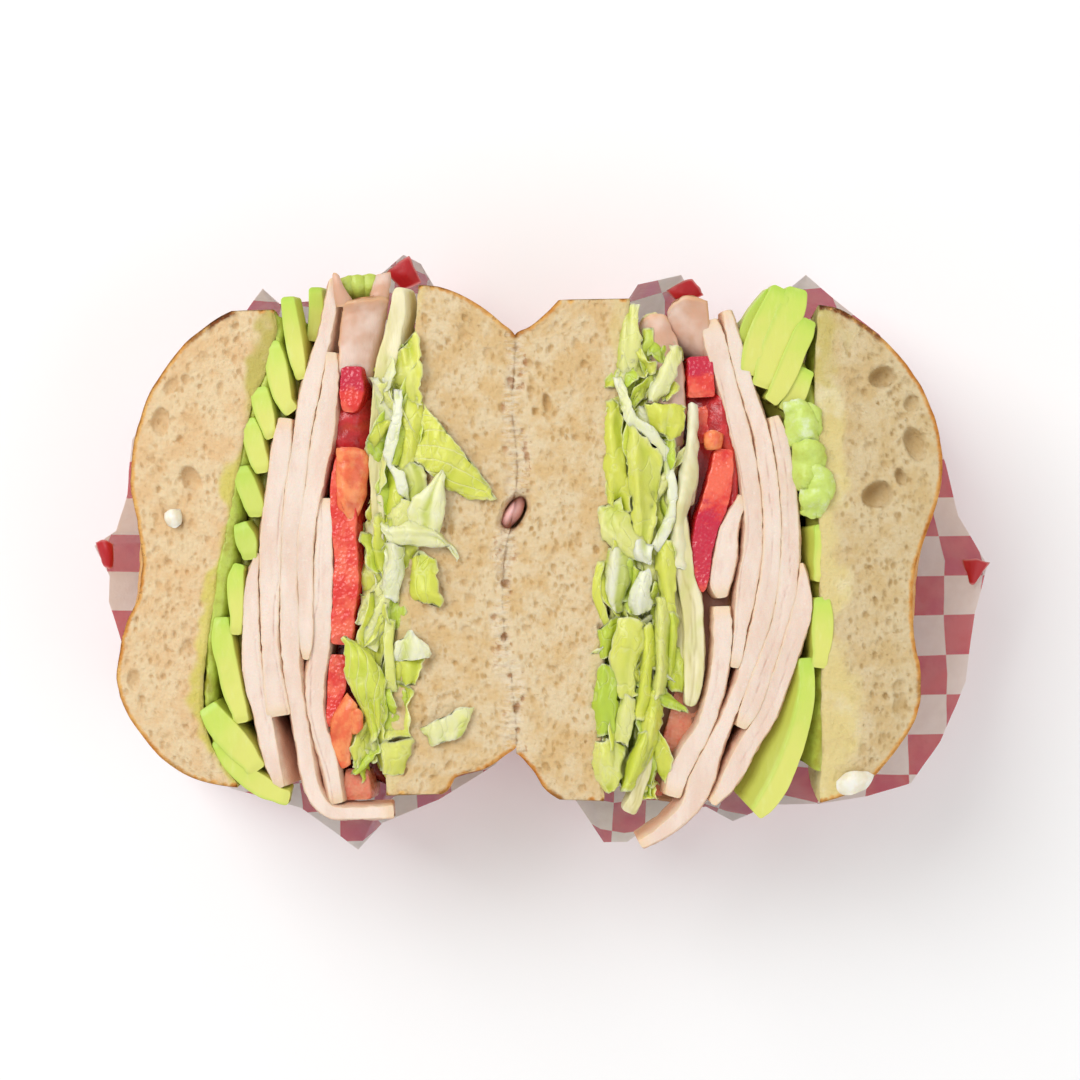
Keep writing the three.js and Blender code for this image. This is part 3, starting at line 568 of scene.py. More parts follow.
def breadHalf(shell, half, side, pores, seed, seamSide=0):
    # side is -1 where the crust faces left; seamSide stops the half at the heel's seam
    y = breadRows(half)
    inner = innerAt(half, y) + 0.35 * roughNoise(np.stack([0 * y, y, 0 * y + seed], -1), 5, seed)
    reachOut, depthAt = breadDome(half, side)
    bottom = depthAt(y)
    edge = xAt(seam["curve"], y) if seamSide else None
    grainSeed = crumb["seeds"]["heelLeft"] if seamSide else seed  # the same grain on both sides of the seam

    def outerAt(down):
        outer = inner + side * reachOut(y, down)
        if seamSide:
            outer = np.minimum(outer, edge) if seamSide > 0 else np.maximum(outer, edge)
        return outer

    steps = 1 - np.cos(np.linspace(0, math.pi / 2, 26))
    dome = np.stack([np.stack([outerAt(bottom * t), y, cutHeight - bottom * t], -1) for t in steps[1:]], 1)
    stepsIn = np.linspace(0, 1, 9) ** 1.6
    innerWall = np.stack([np.stack([inner, y, cutHeight - bottom * t], -1) for t in stepsIn[:0:-1]], 1)
    outer = outerAt(0 * y)
    columns = crumb["columns"]
    u = np.append(np.linspace(0, 0.999, columns - 1), 1.0)
    x = inner[:, None] + (outer - inner)[:, None] * u
    place = np.stack([x, np.repeat(y[:, None], columns, 1), np.zeros(x.shape)], -1)
    z, marks = cutFace(half, place, inner, outer, edge, pores, seed, grainSeed)
    cut = place + np.stack([0 * z, 0 * z, cutHeight + z], -1)
    roughenCrust(dome, edge, side, grainSeed)
    innerWall[..., 0] -= side * 0.3 * roughNoise(innerWall, 3, grainSeed + 11)

    # the inner wall, the cut and the crust are one grid, and each finish value covers all three
    whole = np.concatenate([innerWall, cut, dome], 1)
    onWall, onCrust = {"rind": 1, "filling": 1}, {"onCrust": 1}
    a, b = innerWall.shape[1], innerWall.shape[1] + columns
    values = {}
    for name in ("rind", "pore", "filling", "torn", "pit", "seamLine", "onCrust"):
        values[name] = np.zeros(whole.shape[:2])
        values[name][:, :a] = onWall.get(name, 0)
        values[name][:, a:b] = marks.get(name, 0)
        values[name][:, b:] = onCrust.get(name, 0)
    addGrid(shell, whole, flip=side > 0, far=ease(whole[..., 1], 24, 44), **values)


breadColors = {
    "crownLeft": {"crumb": "E7CFA6", "warm": "E2BE8E", "pore": "C9A06C",
        "smear": "D2C65A", "smearFar": "B8AC4A", "smearPale": "E6D77C", "smearWidth": 0.85},
    "heel": {"crumb": "E3CEA8", "warm": "DAB985", "pore": "C29A5E",
        "smear": "DCC878", "smearFar": "DCC878", "smearPale": "E6D9A0", "smearWidth": 0.35},
    "crownRight": {"crumb": "D9C59D", "warm": "D0B481", "pore": "AE8C56",
        "smear": "E4D28C", "smearFar": "C6B75F", "smearPale": "F0E6C0", "smearWidth": 0.72},
    # in the next line, the colour of the deepest pores is painted shade, and so is the colour of the bagel's
    # hole
    "deepPore": "7A5126", "tornPale": "E9DAC0", "tornWarm": "C89A72", "tornRed": "AC6C42", "pit": "BE9468",
    "crust": "CF8A3C", "crustPale": "E6B468", "crustDark": "8E4A1B", "burnt": "4A2614",
}


def breadFinish(name, colors):
    n = Nodes(name)
    rind, pore, torn = n.value("rind"), n.value("pore"), n.value("torn")
    color = n.mix(n.patches((5.5, 3, 0.6), 0.38, 0.66), colors["crumb"], colors["warm"])
    color = n.over(color, n.patches((0.9, 4, 0.65), 0.35, 0.7), colors["warm"], 0.35)
    # small pores as freckles and the pores of the face, in darker tan: partly the colour of their walls,
    # partly painted shade; the deepest parts of the pores get painted shade alone
    freckles = n.ramp(n.cells(1.7, where=n.stretch((1, 0.6, 1))), 0.1, 0.36, 1, 0)
    color = n.over(color, freckles, colors["pore"], n.patches((5, 2, 0.5), 0.4, 0.62, 0.22, 0.75))
    color = n.over(color, n.ramp(pore, 0.1, 1.0, 0, 0.75), colors["pore"])
    color = n.over(color, n.ramp(pore, 0.72, 1.0), breadColors["deepPore"], 0.4)
    # torn crumb along the seam
    ragged = n.both(torn, n.patches((1.3, 3, 0.7, n.stretch((0.5, 1.6, 1))), 0.35, 0.6))
    color = n.over(color, ragged, breadColors["tornPale"], 0.65)
    fibres = n.both(torn, n.patches((1.6, 4, 0.7, n.stretch((0.6, 1.4, 1))), 0.52, 0.7))
    color = n.over(color, fibres, breadColors["tornWarm"], 0.5)
    red = n.both(n.ramp(pore, 0.25, 0.8), n.ramp(torn, 0.05, 0.5))
    color = n.over(color, red, breadColors["tornRed"], 0.55)
    # the spread that the filling left
    ripe = n.mix(n.value("far"), colors["smear"], colors["smearFar"])
    ripe = n.over(ripe, n.patches((9, 3, 0.6), 0.5, 0.72, 0, 0.7), colors["smearPale"])
    smear = n.both(n.ramp(n.value("filling"), 0.0, 1.0), n.patches((4, 3, 0.6), 0.2, 0.5, 0.55, 1))
    color = n.over(color, smear, ripe, colors["smearWidth"])
    # the crust shows as a thin golden rind, then covers the dome
    golden = n.mix(n.patches((6, 3, 0.6), 0.35, 0.65), breadColors["crust"], breadColors["crustPale"])
    golden = n.over(golden, n.patches((3, 4, 0.7), 0.6, 0.74), breadColors["crustDark"])
    color = n.over(color, n.ramp(n.ragged(rind, (1.2, 3, 0.6), 0.8), 0.1, 0.75, 1, 0), golden)
    toasted = n.mix(n.patches((0.8, 3, 0.7), 0.35, 0.7), breadColors["burnt"], breadColors["crustDark"])
    color = n.over(color, n.both(n.value("burnt"), n.patches((1.6, 3, 0.7), 0.3, 0.55)), toasted)
    # the bagel's hole painted darker tan, as shade
    color = n.over(color, n.value("pit"), breadColors["pit"], 0.5)
    rough = n.mix(n.value("onCrust"), (0.85, 0.85, 0.85, 1), (0.5, 0.5, 0.5, 1))
    grain = n.plus(n.noise(0.5, 4, 0.7), n.times(n.cells(0.8), 0.6))
    fine = n.bump(n.plus(grain, n.times(freckles, -0.6)), 0.32, 0.85)
    return n.finish(color, rough, fine, glow=0.12, radius=(2.2, 1.4, 0.8), shine=0.35)


def addBurnt(piece, spots):
    # dark toasted places: centre x, y, radius, how dark
    mesh = piece.data
    points = np.zeros(len(mesh.vertices) * 3, np.float32)
    mesh.vertices.foreach_get("co", points)
    points = points.reshape(-1, 3) / toMetres
    dark = np.zeros(len(points))
    for x, y, r, how in spots:
        d = np.hypot(points[:, 0] - x, points[:, 1] - y) / r
        dark = np.maximum(dark, how * (1 - ease(d, 0.4, 1.15)))
    dark *= (1 - ease(readValues(mesh, "rind"), 0.35, 0.95)) * (1 - ease(cutHeight - points[:, 2], 3, 15))
    mesh.attributes.new("burnt", "FLOAT", "POINT").data.foreach_set("value", dark.astype(np.float32))


def keepSharp(piece, line):
    # the faces on both sides of this line of points keep their own shading
    mesh = piece.data
    ends = np.zeros(len(mesh.edges) * 2, np.int32)
    mesh.edges.foreach_get("vertices", ends)
    sharp = (readValues(mesh, line)[ends.reshape(-1, 2)] > 0.5).all(1)
    mesh.attributes.new("sharp_edge", "BOOLEAN", "EDGE").data.foreach_set("value", sharp)


burntSpots = {
    "crownLeft": [(-71, 52, 5, 1), (-76, 48, 3.5, 0.6), (-80, -46, 3, 0.3)],
    "crownRight": [(61, 53, 5, 1), (66, 53, 4, 1), (72, 49.5, 5, 0.8), (63, 50, 3.5, 0.8),
        (83.5, -30, 2.5, 0.5)],
    "heel": [(-25, -53, 5, 0.5), (5, -54, 5, 0.5), (-5, 48, 3, 0.35)],
}


def makeBreads():
    seeds = crumb["seeds"]
    left, right, heel = newShell(), newShell(), newShell()
    breadHalf(left, crownLeft, -1, crownLeft["pores"], seeds["crownLeft"])
    breadHalf(right, crownRight, 1, crownRight["pores"], seeds["crownRight"])
    breadHalf(heel, heelLeft, 1, heelPores, seeds["heelLeft"], seamSide=1)
    breadHalf(heel, heelRight, -1, heelPores, seeds["heelRight"], seamSide=-1)
    breads = (("crownLeft", left, "bread_crown_left"), ("crownRight", right, "bread_crown_right"),
              ("heel", heel, "bread_heel"))
    for key, shell, node in breads:
        finish = breadFinish("crumb" + key[0].upper() + key[1:], breadColors[key])
        piece = shellObject(shell, key + "Bread", finish, "bread", [node])
        if key == "heel":
            keepSharp(piece, "seamLine")
        addBurnt(piece, burntSpots[key])


makeBreads()
print("breads done")


# Slices that stand on edge between the breads. Each has a path over the cut from its far end to its near
# end, as x, y and thickness. Its slope says how far its left and its right side lean outward per millimetre
# of depth, from its far end to its near end; top is its level from the cut, reach its greatest depth.
turkeySlices = {
    "left_outer": {"path": [(-62.4, 0, 0.9), (-63.5, -5.3, 2.4), (-63.9, -10.8, 3.5), (-63.8, -18, 3.7),
        (-63.4, -26.8, 4.4), (-61.5, -35.6, 3.9), (-59.5, -44.9, 3.6), (-57.5, -51.7, 2.1)],
        "slope": ((0, 0.0), (0, 0.0), (0, 0.05), (0, 0.55))},
    "left_second": {"path": [(-56.4, 29.7, 3.1), (-57.1, 23.8, 4.1), (-58.5, 13.9, 4.2), (-59.6, 1.8, 4.8),
        (-59.8, -10.3, 4.3), (-59.7, -20.2, 3.7), (-58.7, -30.1, 4.8), (-57.8, -35.9, 5.4)],
        "slope": ((0, 0), (0, 0.12), (0, 0.2))},
    "left_long": {"path": [(-45.6, 60.5, 1.7), (-46.3, 55, 2.6), (-47.9, 46.9, 3), (-50.6, 37, 4.1),
        (-52.7, 24.9, 3.9), (-54.5, 11.7, 4.4), (-55.5, -1.5, 3.7), (-55.4, -16.9, 4.2),
        (-54.9, -26.2, 3.7), (-52.7, -40, 3.3), (-49.9, -53.2, 3.2), (-46.6, -56.8, 2.8), (-39, -57.2, 2.6),
        (-32.5, -56.9, 2.6)], "slope": ((0, 0.1), (0, 0), (0, 0.1), (0, 0.05))},
    "left_fourth": {"path": [(-46.1, 44.2, 2.4), (-46.6, 35.9, 3.6), (-48.2, 25.3, 4.8), (-50.3, 13.4, 3.9),
        (-51.9, 2.9, 3.7), (-52, -10.3, 3.5), (-51.8, -19.1, 3.1), (-51.9, -23.5, 1.5)]},
    "left_fifth": {"path": [(-47.6, 12.1, 2.9), (-47.9, 2.9, 3.7), (-48.1, -8.8, 4.2), (-48.7, -19.1, 4.4),
        (-49.9, -28.6, 4.1), (-49.4, -37.2, 3.5), (-46.8, -46, 3.6), (-45, -55.2, 2.8)],
        "slope": ((0, 0), (0, 0.1), (0.1, 0.1))},
    "right_inner": {"path": [(36.9, 51.3, 3.4), (38.2, 46.6, 4.6), (41, 37, 4.2), (43.5, 27.5, 4.3),
        (45.5, 18.3, 4.1), (46.6, 8.4, 4), (46.5, 0.7, 4.2), (45.2, -7.7, 4.6), (43.9, -16.9, 3),
        (42.6, -25.3, 2)], "slope": ((0.1, 0), (0, 0))},
    "right_long": {"path": [(40.8, 53.5, 1.7), (42.6, 45.8, 3), (45.2, 36.3, 3.2), (48.1, 27.5, 3.4),
        (49.6, 19.1, 3.7), (50.7, 9.5, 4), (50.7, -0.4, 4), (49.4, -10.3, 4.3), (47, -20.2, 3.8),
        (44.1, -28.8, 2.9), (40.6, -37.2, 3), (37.7, -43.6, 4), (34.9, -50.6, 5.5), (32.7, -55.7, 3.9),
        (27.8, -60.5, 3), (21.7, -64.2, 1.9)], "reach": 44, "slope": ((0.05, 0), (0, 0), (0.25, 0))},
    "right_third": {"path": [(51.1, 30.1, 2.3), (52.5, 24.9, 3.4), (54, 16.1, 3.7), (54.7, 7.3, 3.8),
        (54.6, -1.5, 4.2), (53.8, -9.7, 4.2), (51.6, -18, 3.8), (49, -25.7, 4.1), (46.1, -33.4, 4.3),
        (43.9, -38.5, 2.4)]},
    "right_outer": {"path": [(57.2, -2.2, 0.7), (57.6, -6.4, 2.2), (57.4, -12.1, 4.3), (55.3, -19.6, 4.4),
        (52.5, -27.9, 4.1), (49.4, -36.1, 4.2), (45.9, -41.6, 4.2), (42.8, -47.3, 4.1), (40.1, -52.1, 2.9),
        (37.5, -55.2, 1.5)], "slope": ((0, 0), (0.15, 0))},
    "right_short": {"path": [(44.5, 12.5, 2.4), (42.7, 8.8, 2.7), (41.2, 4.4, 4.1), (40.4, -1.5, 5),
        (39.3, -6.8, 4.4), (39.7, -9.9, 2.2)]},
    "right_low": {"path": [(39.7, -11.7, 3.7), (39.9, -19.1, 4), (39.3, -25.1, 3.9), (37.8, -32.3, 3.6),
        (35.8, -38.7, 3.6), (32.5, -44, 4.3), (30.2, -48.8, 4.5), (28.9, -53.7, 3.2)],
        "slope": ((0.05, 0), (0.1, 0))},
}
avocadoSlices = {
    "left_1": {"path": [(-56, 56.5, 2.6), (-55, 49.1, 3.4), (-53.6, 41.4, 3), (-52.8, 38.3, 1.1)]},
    "left_2": {"path": [(-59.6, 46.6, 3.2), (-58.7, 42.5, 4.3), (-57.6, 36.7, 4.3), (-56.5, 33.2, 3.2),
        (-54.9, 31, 0.7)]},
    "left_3": {"path": [(-62.4, 36.5, 3.5), (-61.7, 33.2, 4.1), (-60.8, 29.9, 3.8), (-60, 27.1, 2.7),
        (-59.3, 25.3, 1.2)]},
    "left_4": {"path": [(-64.6, 29.7, 2.6), (-64, 26.6, 4.1), (-62.8, 22.2, 4), (-61.9, 19.4, 3.6),
        (-61.6, 17.6, 2.2)]},
    "left_5": {"path": [(-66.2, 19.1, 2.6), (-65.5, 16.1, 4), (-64.1, 12.5, 4.1), (-63.2, 9.9, 3.9),
        (-63.1, 7.9, 2.4)]},
    "left_6": {"path": [(-66.4, 6.6, 2.5), (-65.2, 3.1, 4.2), (-64.5, 0.4, 3.4), (-64.2, -1.5, 1.7)]},
    "left_7": {"path": [(-66.5, -2.4, 1.7), (-67.3, -5.7, 3.3), (-67.3, -10.3, 3.1), (-67.1, -14.7, 2.2),
        (-67.4, -18, 1.1)]},
    "left_8": {"path": [(-70.5, -14.1, 2.6), (-70.3, -19.1, 4.4), (-69.2, -24.6, 4.3), (-68, -30.1, 4.1),
        (-66.5, -35, 3.2), (-66, -37.4, 1.7)]},
    "left_9": {"path": [(-73.6, -33.7, 3.7), (-71, -37.6, 5.3), (-67.4, -41.8, 5.7), (-64.3, -45.5, 4.5),
        (-62.6, -48, 2.1)]},
    "left_10": {"path": [(-71.4, -41.1, 2.6), (-68.8, -45.5, 3.8), (-65, -49.1, 4.2), (-61, -51.8, 4.2),
        (-57.5, -53.5, 2.8), (-55.5, -54, 3.1)]},
    "left_far": {"path": [(-50.2, 59, 2.6), (-50, 53, 3.1), (-50.9, 47, 2.3)], "top": -4, "least": 12,
        "slope": ((0, 0.25), (0, 0.3))},
    "right_1": {"grow": 0.35, "path": [(51.1, 57.9, 1.6), (48.7, 54.3, 2.6), (45.9, 49.9, 2.8),
        (44.5, 45.8, 2.1)], "top": -1.5},
    "right_2": {"grow": 0.35, "path": [(53.1, 58.3, 3.6), (50, 51.7, 4.8), (47.2, 44.7, 4.8),
        (45.9, 39.2, 3.2)]},
    "right_3": {"grow": 0.35, "path": [(56.4, 58.3, 3.4), (55.1, 53.9, 5.1), (52.5, 47.7, 5.3),
        (50, 41.4, 4.9), (48.3, 36.5, 2.5)]},
    "right_fan": {"grow": 0.35, "path": [(59.1, 51.3, 1.8), (57.8, 48.6, 3.6), (56, 44.7, 3.6),
        (54, 39.8, 3.8), (51.8, 35.4, 3.1), (50.3, 33.2, 1.1)]},
    "right_4": {"path": [(58.6, 40.5, 2.7), (56.9, 37.2, 4.3), (55.3, 33.9, 4.6), (53.6, 31.2, 2.2)]},
    "right_5": {"path": [(58.2, 30.6, 4), (58.2, 27.9, 5.2), (57.3, 24.9, 3.4)], "reach": 22},
    "right_6": {"path": [(59.1, 23.5, 4.5), (60.4, 20, 6.5), (60.4, 16.5, 4.8)]},
    "right_7": {"path": [(60.2, 15, 5.7), (60.4, 11.7, 6.5), (59.3, 8.4, 4.2)]},
    "right_8": {"path": [(61.7, 6.4, 3), (62.4, 1.8, 4), (61.9, -2.6, 3.7), (61.3, -6.4, 1.7)],
        "slope": ((0.5, 0), (0.3, 0))},
    "right_9": {"path": [(61.7, -9.7, 3.1), (61.9, -14.7, 4.4), (61.7, -20.2, 3.9), (61, -25.3, 1.7)],
        "slope": ((0.3, 0), (0.2, 0))},
    "right_10": {"path": [(58.2, -23.1, 2), (58.6, -28.8, 3.1), (57.8, -35, 3.7), (56.2, -41.1, 4),
        (54.2, -46.6, 4.1), (51.7, -51.9, 4.2), (48.7, -56.1, 3.5), (47.2, -57.6, 1.9)], "lean": -0.4,
        "reach": 20, "slope": ((0.1, 0), (0.55, 0), (0.8, 0), (0.6, 0))},
}
tomatoPieces = {
    "left_cube": {"path": [(-41.9, 41.1, 4.4), (-41.9, 37, 4.8), (-42.1, 33.7, 4.6), (-42.4, 31, 3.1)],
        "reach": 14, "lean": 0.15, "blush": (1.1, 0.9, 0.2, 0), "slope": ((0, 0.16), (0, 0.1))},
    "left_slice": {"path": [(-41.7, 22.9, 6), (-42.8, 18.3, 6.1), (-43.7, 11.7, 5.3), (-43.2, 2.4, 5.3),
        (-43, -5.9, 5.5), (-43.5, -12.5, 5), (-44.1, -20.2, 4.6)], "blush": (0, 0.1, 0.3, 0.2, 0.3),
        "slope": ((0.03, 0.3), (0, 0.34), (0, 0.2))},
    "left_end": {"path": [(-44.9, -22.4, 3.5), (-45.1, -29, 4.2), (-46.1, -34.5, 2.6), (-46.8, -38.3, 1.3)],
        "top": -1},
    "left_flesh": {"path": [(-40.8, -47.7, 4.8), (-40.8, -51.3, 5.7), (-40.7, -54.6, 5.6)], "top": -2,
        "least": 8, "blush": (0.6, 0.1), "pale": 0.8, "slope": ((0, 0.2), (0, 0.2))},
    "right_cube": {"path": [(34.9, 43.3, 5.3), (35.1, 38.9, 5.7), (35.3, 34.3, 5.7)], "reach": 13,
        "blush": (1.1, 0.8, 0.1, 0), "slope": ((0.14, 0.1), (0.14, 0.1))},
    "right_pulp": {"path": [(36.4, 32.6, 5.5), (37.5, 28.8, 6.8), (38.4, 24.9, 6.9)], "top": -2},
    "right_slice": {"path": [(40.1, 22.9, 3.9), (39.8, 18.3, 4.8), (38.5, 12.1, 5.3), (36.7, 6.8, 5.4),
        (35.4, 0.7, 4.8), (35.3, -4.8, 3.3), (35.4, -8.6, 1.1)], "blush": (0, 0, 0.5, 0.9, 0.8, 0.5),
        "slope": ((0.1, 0.12), (0.12, 0.1), (0.1, 0))},
    "right_low": {"path": [(34.2, -20.9, 3.5), (32.5, -30.1, 5.6), (30.7, -38.5, 5.9), (27.8, -44.9, 4)],
        "top": -3, "pale": 0.85},
    "right_end": {"path": [(25.6, -46.6, 3.4), (25.6, -50.4, 3.6), (25, -53.9, 3.4)], "top": -5,
        "least": 11, "pale": 0.7, "slope": ((0.2, 0.1), (0.2, 0.1))},
}
ribPieces = {
    "left_far": {"path": [(-31.5, 58.5, 2), (-31.4, 55, 3.1), (-32.5, 49.1, 4.1), (-34, 42.5, 4.1),
        (-35.5, 34.8, 3.5), (-36.4, 27.1, 2.9), (-36.4, 18.3, 2.9), (-36, 9.5, 2.6), (-35.9, 1.8, 2.2)],
        "lean": 0.12, "slope": ((0, 0.28), (0, 0.12))},
    "right_far": {"path": [(24.1, 53, 3.4), (25.9, 45.8, 4.2), (27.8, 39.2, 3.4), (28.9, 31.5, 3.7),
        (28.9, 22.7, 3.5), (28.7, 16.5, 2.6)], "top": -2},
    "right_pale": {"path": [(33.1, 22.2, 2.2), (32.5, 16.1, 3.9), (31.8, 10.6, 3.5)], "top": -1},
    "right_long": {"path": [(30.2, 9, 3.1), (30.7, 1.8, 3.9), (31.4, -4.2, 4.1), (32.9, -10.3, 4.3),
        (33.5, -16.9, 4.4), (33.5, -23.5, 4.4), (33.3, -30.1, 3.7), (32.5, -33.7, 2.1)], "top": 0.6,
        "slope": ((0, 0.05), (0, 0.12))},
    "right_thin": {"path": [(28.7, -6.4, 1.1), (29.8, -12.5, 2), (30.7, -19.1, 2), (30.5, -24.6, 1.3)],
        "top": -1},
    "right_end": {"path": [(23.6, -41.6, 1.7), (22.8, -47.3, 2.8), (21, -52.8, 3.1), (19, -57.2, 3.2)]},
}
fillingRadius = 51.0  # the filling is round like the bagel, so it ends this far from its centre
usualSlope = ((0.06, 0.02), (0.06, 0.02))
leftAvocadoSlope = ((0, 0.2), (0, 0.2))
sideDepths = (0.15, 0.4, 0.8, 1.4, 2.2, 3.4, 5, 7.5, 11, 16, 24, 36, 60)  # below the edge, of a side's rows
turkeyLook = {
    "step": 0.6, "acrossSteps": 21,     # between points along the slice, and how many across its edge
    "grow": 0.03, "widen": 0.5,         # added to half the thickness, everywhere and below the cut
    "corner": 0.55, "blunt": 0.0,       # length of the round ends, and the least share of the thickness
    "edgeRadius": 0.22,                 # roundness of the edge
    "ragged": 0.04,                     # how much the thickness varies, as a share
    "sway": 0.7, "wobble": 0.18, "rough": 0.3,      # unevenness of the sides, from wide to fine
    "levels": 0.3, "edgeWave": 0.35, "tilt": 0.25,  # unevenness of the edge's height
    "endDrop": 0.3,                     # how far both ends of the edge drop
    "grain": 0.06, "grainSize": 1.5,
    "lines": 1, "lineDepth": 0.1,       # fine lines along the edge
}
avocadoLook = dict(turkeyLook, step=0.5, acrossSteps=17, grow=0.15, widen=0.1, corner=0.8, blunt=0.72,
                   edgeRadius=0.2, ragged=0.03, sway=0.4, wobble=0.08, rough=0.05, levels=0.5, edgeWave=0.3,
                   tilt=0.3, endDrop=0.4, grain=0.05, grainSize=2.0, lineDepth=0.05)
tomatoLook = dict(turkeyLook, step=0.4, grow=0.02, widen=0.1, corner=0.7, edgeRadius=0.3, ragged=0.08,
                  sway=0.4, wobble=0.16, rough=0.25, edgeWave=0.4, tilt=0.35, endDrop=0.5, grain=0.16,
                  grainSize=1.7, lines=0, lineDepth=0)
ribLook = dict(turkeyLook, step=0.45, acrossSteps=17, grow=0.02, widen=0.1, corner=0.9, blunt=0.5,
               edgeRadius=0.35, ragged=0.1, sway=0.9, wobble=0.35, rough=0.15, edgeWave=0.7, tilt=0.4,
               endDrop=0.6, grain=0.08, grainSize=1.7, lines=3, lineDepth=0.12)


def slicePath(path, look):
    # the path resampled in even steps, with closer points at both round ends
    curve, run = curveThrough(path, look["step"])
    corner = min(look["corner"], 0.35 * run[-1])
    tips = corner * np.array([0, 0.03, 0.12, 0.27, 0.5, 0.75])
    places = np.concatenate([tips, np.arange(corner, run[-1] - corner, look["step"]), run[-1] - tips[::-1]])
    return np.stack([np.interp(places, run, curve[:, k]) for k in range(3)], 1), places, corner


def sliceDepth(curve, top, least, reach):
    # how deep the slice stands between the breads, at each place
    deep = np.sqrt(np.maximum(0, fillingRadius ** 2 - curve[:, 1] ** 2))
    return np.minimum(np.clip(deep, least, reach), cutHeight + top - 2.8)


def sliceHalf(curve, run, ends, corner, look, grow, seed):
    # half the thickness at each place, uneven and round towards both ends
    half = np.maximum(0.3, curve[:, 2] / 2 + look["grow"] + grow)
    half = half * (1 + look["ragged"] * softNoise(np.stack([run, 0 * run, 0 * run + seed], -1), 5, seed))
    half = np.maximum(half, look["blunt"] * half.max())
    bite = np.minimum(corner, half) * (1 - np.sqrt(1 - np.clip(1 - ends / corner, 0, 1) ** 2))
    return half - 0.92 * bite


def fineLines(draw, look, t, run, share, half, seed):
    # fine lines that run along the edge, each for a part of its length
    line = np.zeros((len(run), share.shape[1]))
    for _ in range(look["lines"]):
        at, first, last = draw.uniform(-0.7, 0.7), draw.uniform(-0.2, 0.6), draw.uniform(0.5, 1.2)
        swing = 0.45 * softNoise(np.stack([run, 0 * run, 0 * run + at], -1), 7, seed)[:, None]
        away = (share - at) * half[:, None] - swing
        window = ease(t, first, first + 0.08) * (1 - ease(t, last - 0.08, last))
        line = np.maximum(line, np.exp(-(away / 0.13) ** 2) * window)
    return line


def sliceShell(shell, path, seed, look, slope=((0, 0), (0, 0)), top=0.0, reach=99.0, lean=0.0, least=5.0,
               grow=0.0):
    # one slice: a closed section of a flat edge on top and two long sides, run along its path
    draw = np.random.default_rng(seed)
    curve, run, corner = slicePath(path, look)
    t = run[:, None] / run[-1]
    along = np.gradient(curve[:, :2], run, axis=0)
    along /= np.linalg.norm(along, axis=1)[:, None] + 1e-9
    across = np.stack([-along[:, 1], along[:, 0]], -1)
    ends = np.minimum(run, run[-1] - run)
    half = sliceHalf(curve, run, ends, corner, look, grow, seed)
    deep = sliceDepth(curve, top, least, reach)

    # the section: up one side, over the edge and down the other side
    edge = np.sin(np.linspace(-1, 1, look["acrossSteps"]) * math.pi / 2)
    sideOnes, downs = np.ones(len(sideDepths)), np.array(sideDepths)
    share = np.concatenate([-sideOnes, edge, sideOnes])[None]
    down = np.concatenate([downs[::-1], 0 * edge, downs])[None]
    isSide = np.concatenate([-sideOnes, 0 * edge, sideOnes])[None]
    bend = np.minimum(look["edgeRadius"], 0.8 * half)[:, None]
    u = half[:, None] * share
    fall = bend * (1 - np.sqrt(1 - np.clip((np.abs(u) - (half[:, None] - bend)) / bend, 0, 1) ** 2))
    depth = np.where(down > 0, np.minimum(bend + down, deep[:, None]), fall)
    stations, slope = np.linspace(0, 1, len(slope)), np.array(slope, float)
    leftSlope, rightSlope = [np.interp(run / run[-1], stations, slope[:, k])[:, None] for k in (0, 1)]
    widen = look["widen"] * ease(depth, 0.3, 2.2) * isSide
    outward = np.minimum(depth, 14) * np.where(isSide > 0, rightSlope, -leftSlope) * np.abs(isSide)
    u = u + lean * depth + widen + outward
    z = cutHeight + top - depth + draw.uniform(-1, 1) * look["levels"] * (1 - ease(depth, 0, 2))

    # soft sway and roughness of the sides, then waves, grain and fine lines of the edge
    middle = np.stack([curve[:, :1] + 0 * u, curve[:, 1:2] + 0 * u, z], -1)
    where = middle + np.concatenate([across[:, None] * u[..., None], 0 * u[..., None]], -1)
    sway = look["sway"] * roughNoise(middle, (14, 14, 10), seed, 2) * ease(depth, 0.5, 9)
    wobble = look["wobble"] * roughNoise(middle, (5, 5, 3), seed + 3, 3)
    side = share * np.abs(share) ** 3 * look["rough"] * roughNoise(where, look["grainSize"], seed + 5, 3)
    where[..., :2] += across[:, None] * (sway + wobble + side)[..., None]
    topShare = 1 - ease(depth, 0, 1.5)
    level = np.stack([curve[:, 0], curve[:, 1], 0 * run], -1)
    wave = look["edgeWave"] * roughNoise(level, 8, seed + 7, 2)[:, None]
    tilt = look["tilt"] * share * softNoise(level, 12, seed + 8)[:, None]
    where[..., 2] += topShare * (wave + tilt)
    where[..., 2] += topShare * look["grain"] * roughNoise(where, look["grainSize"], seed + 9, 3)
    where[..., 2] -= look["endDrop"] * (1 - ease(ends, 0, 1.6))[:, None] * topShare
    line = fineLines(draw, look, t, run, share, half, seed) * (isSide == 0)
    where[..., 2] -= look["lineDepth"] * line
    # the finishes paint shade from depth and side: darker down the sides and deeper between the slices
    addGrid(shell, where, wrap=True, caps=True, flip=True, depth=np.clip(depth / 20, 0, 1),
            across=share * 0.5 + 0.5, run=t, line=line, tone=(seed * 0.618) % 1,
            endShare=1 - ease(ends, 0, 4)[:, None], side=isSide * ease(depth, 0.1, 0.6))


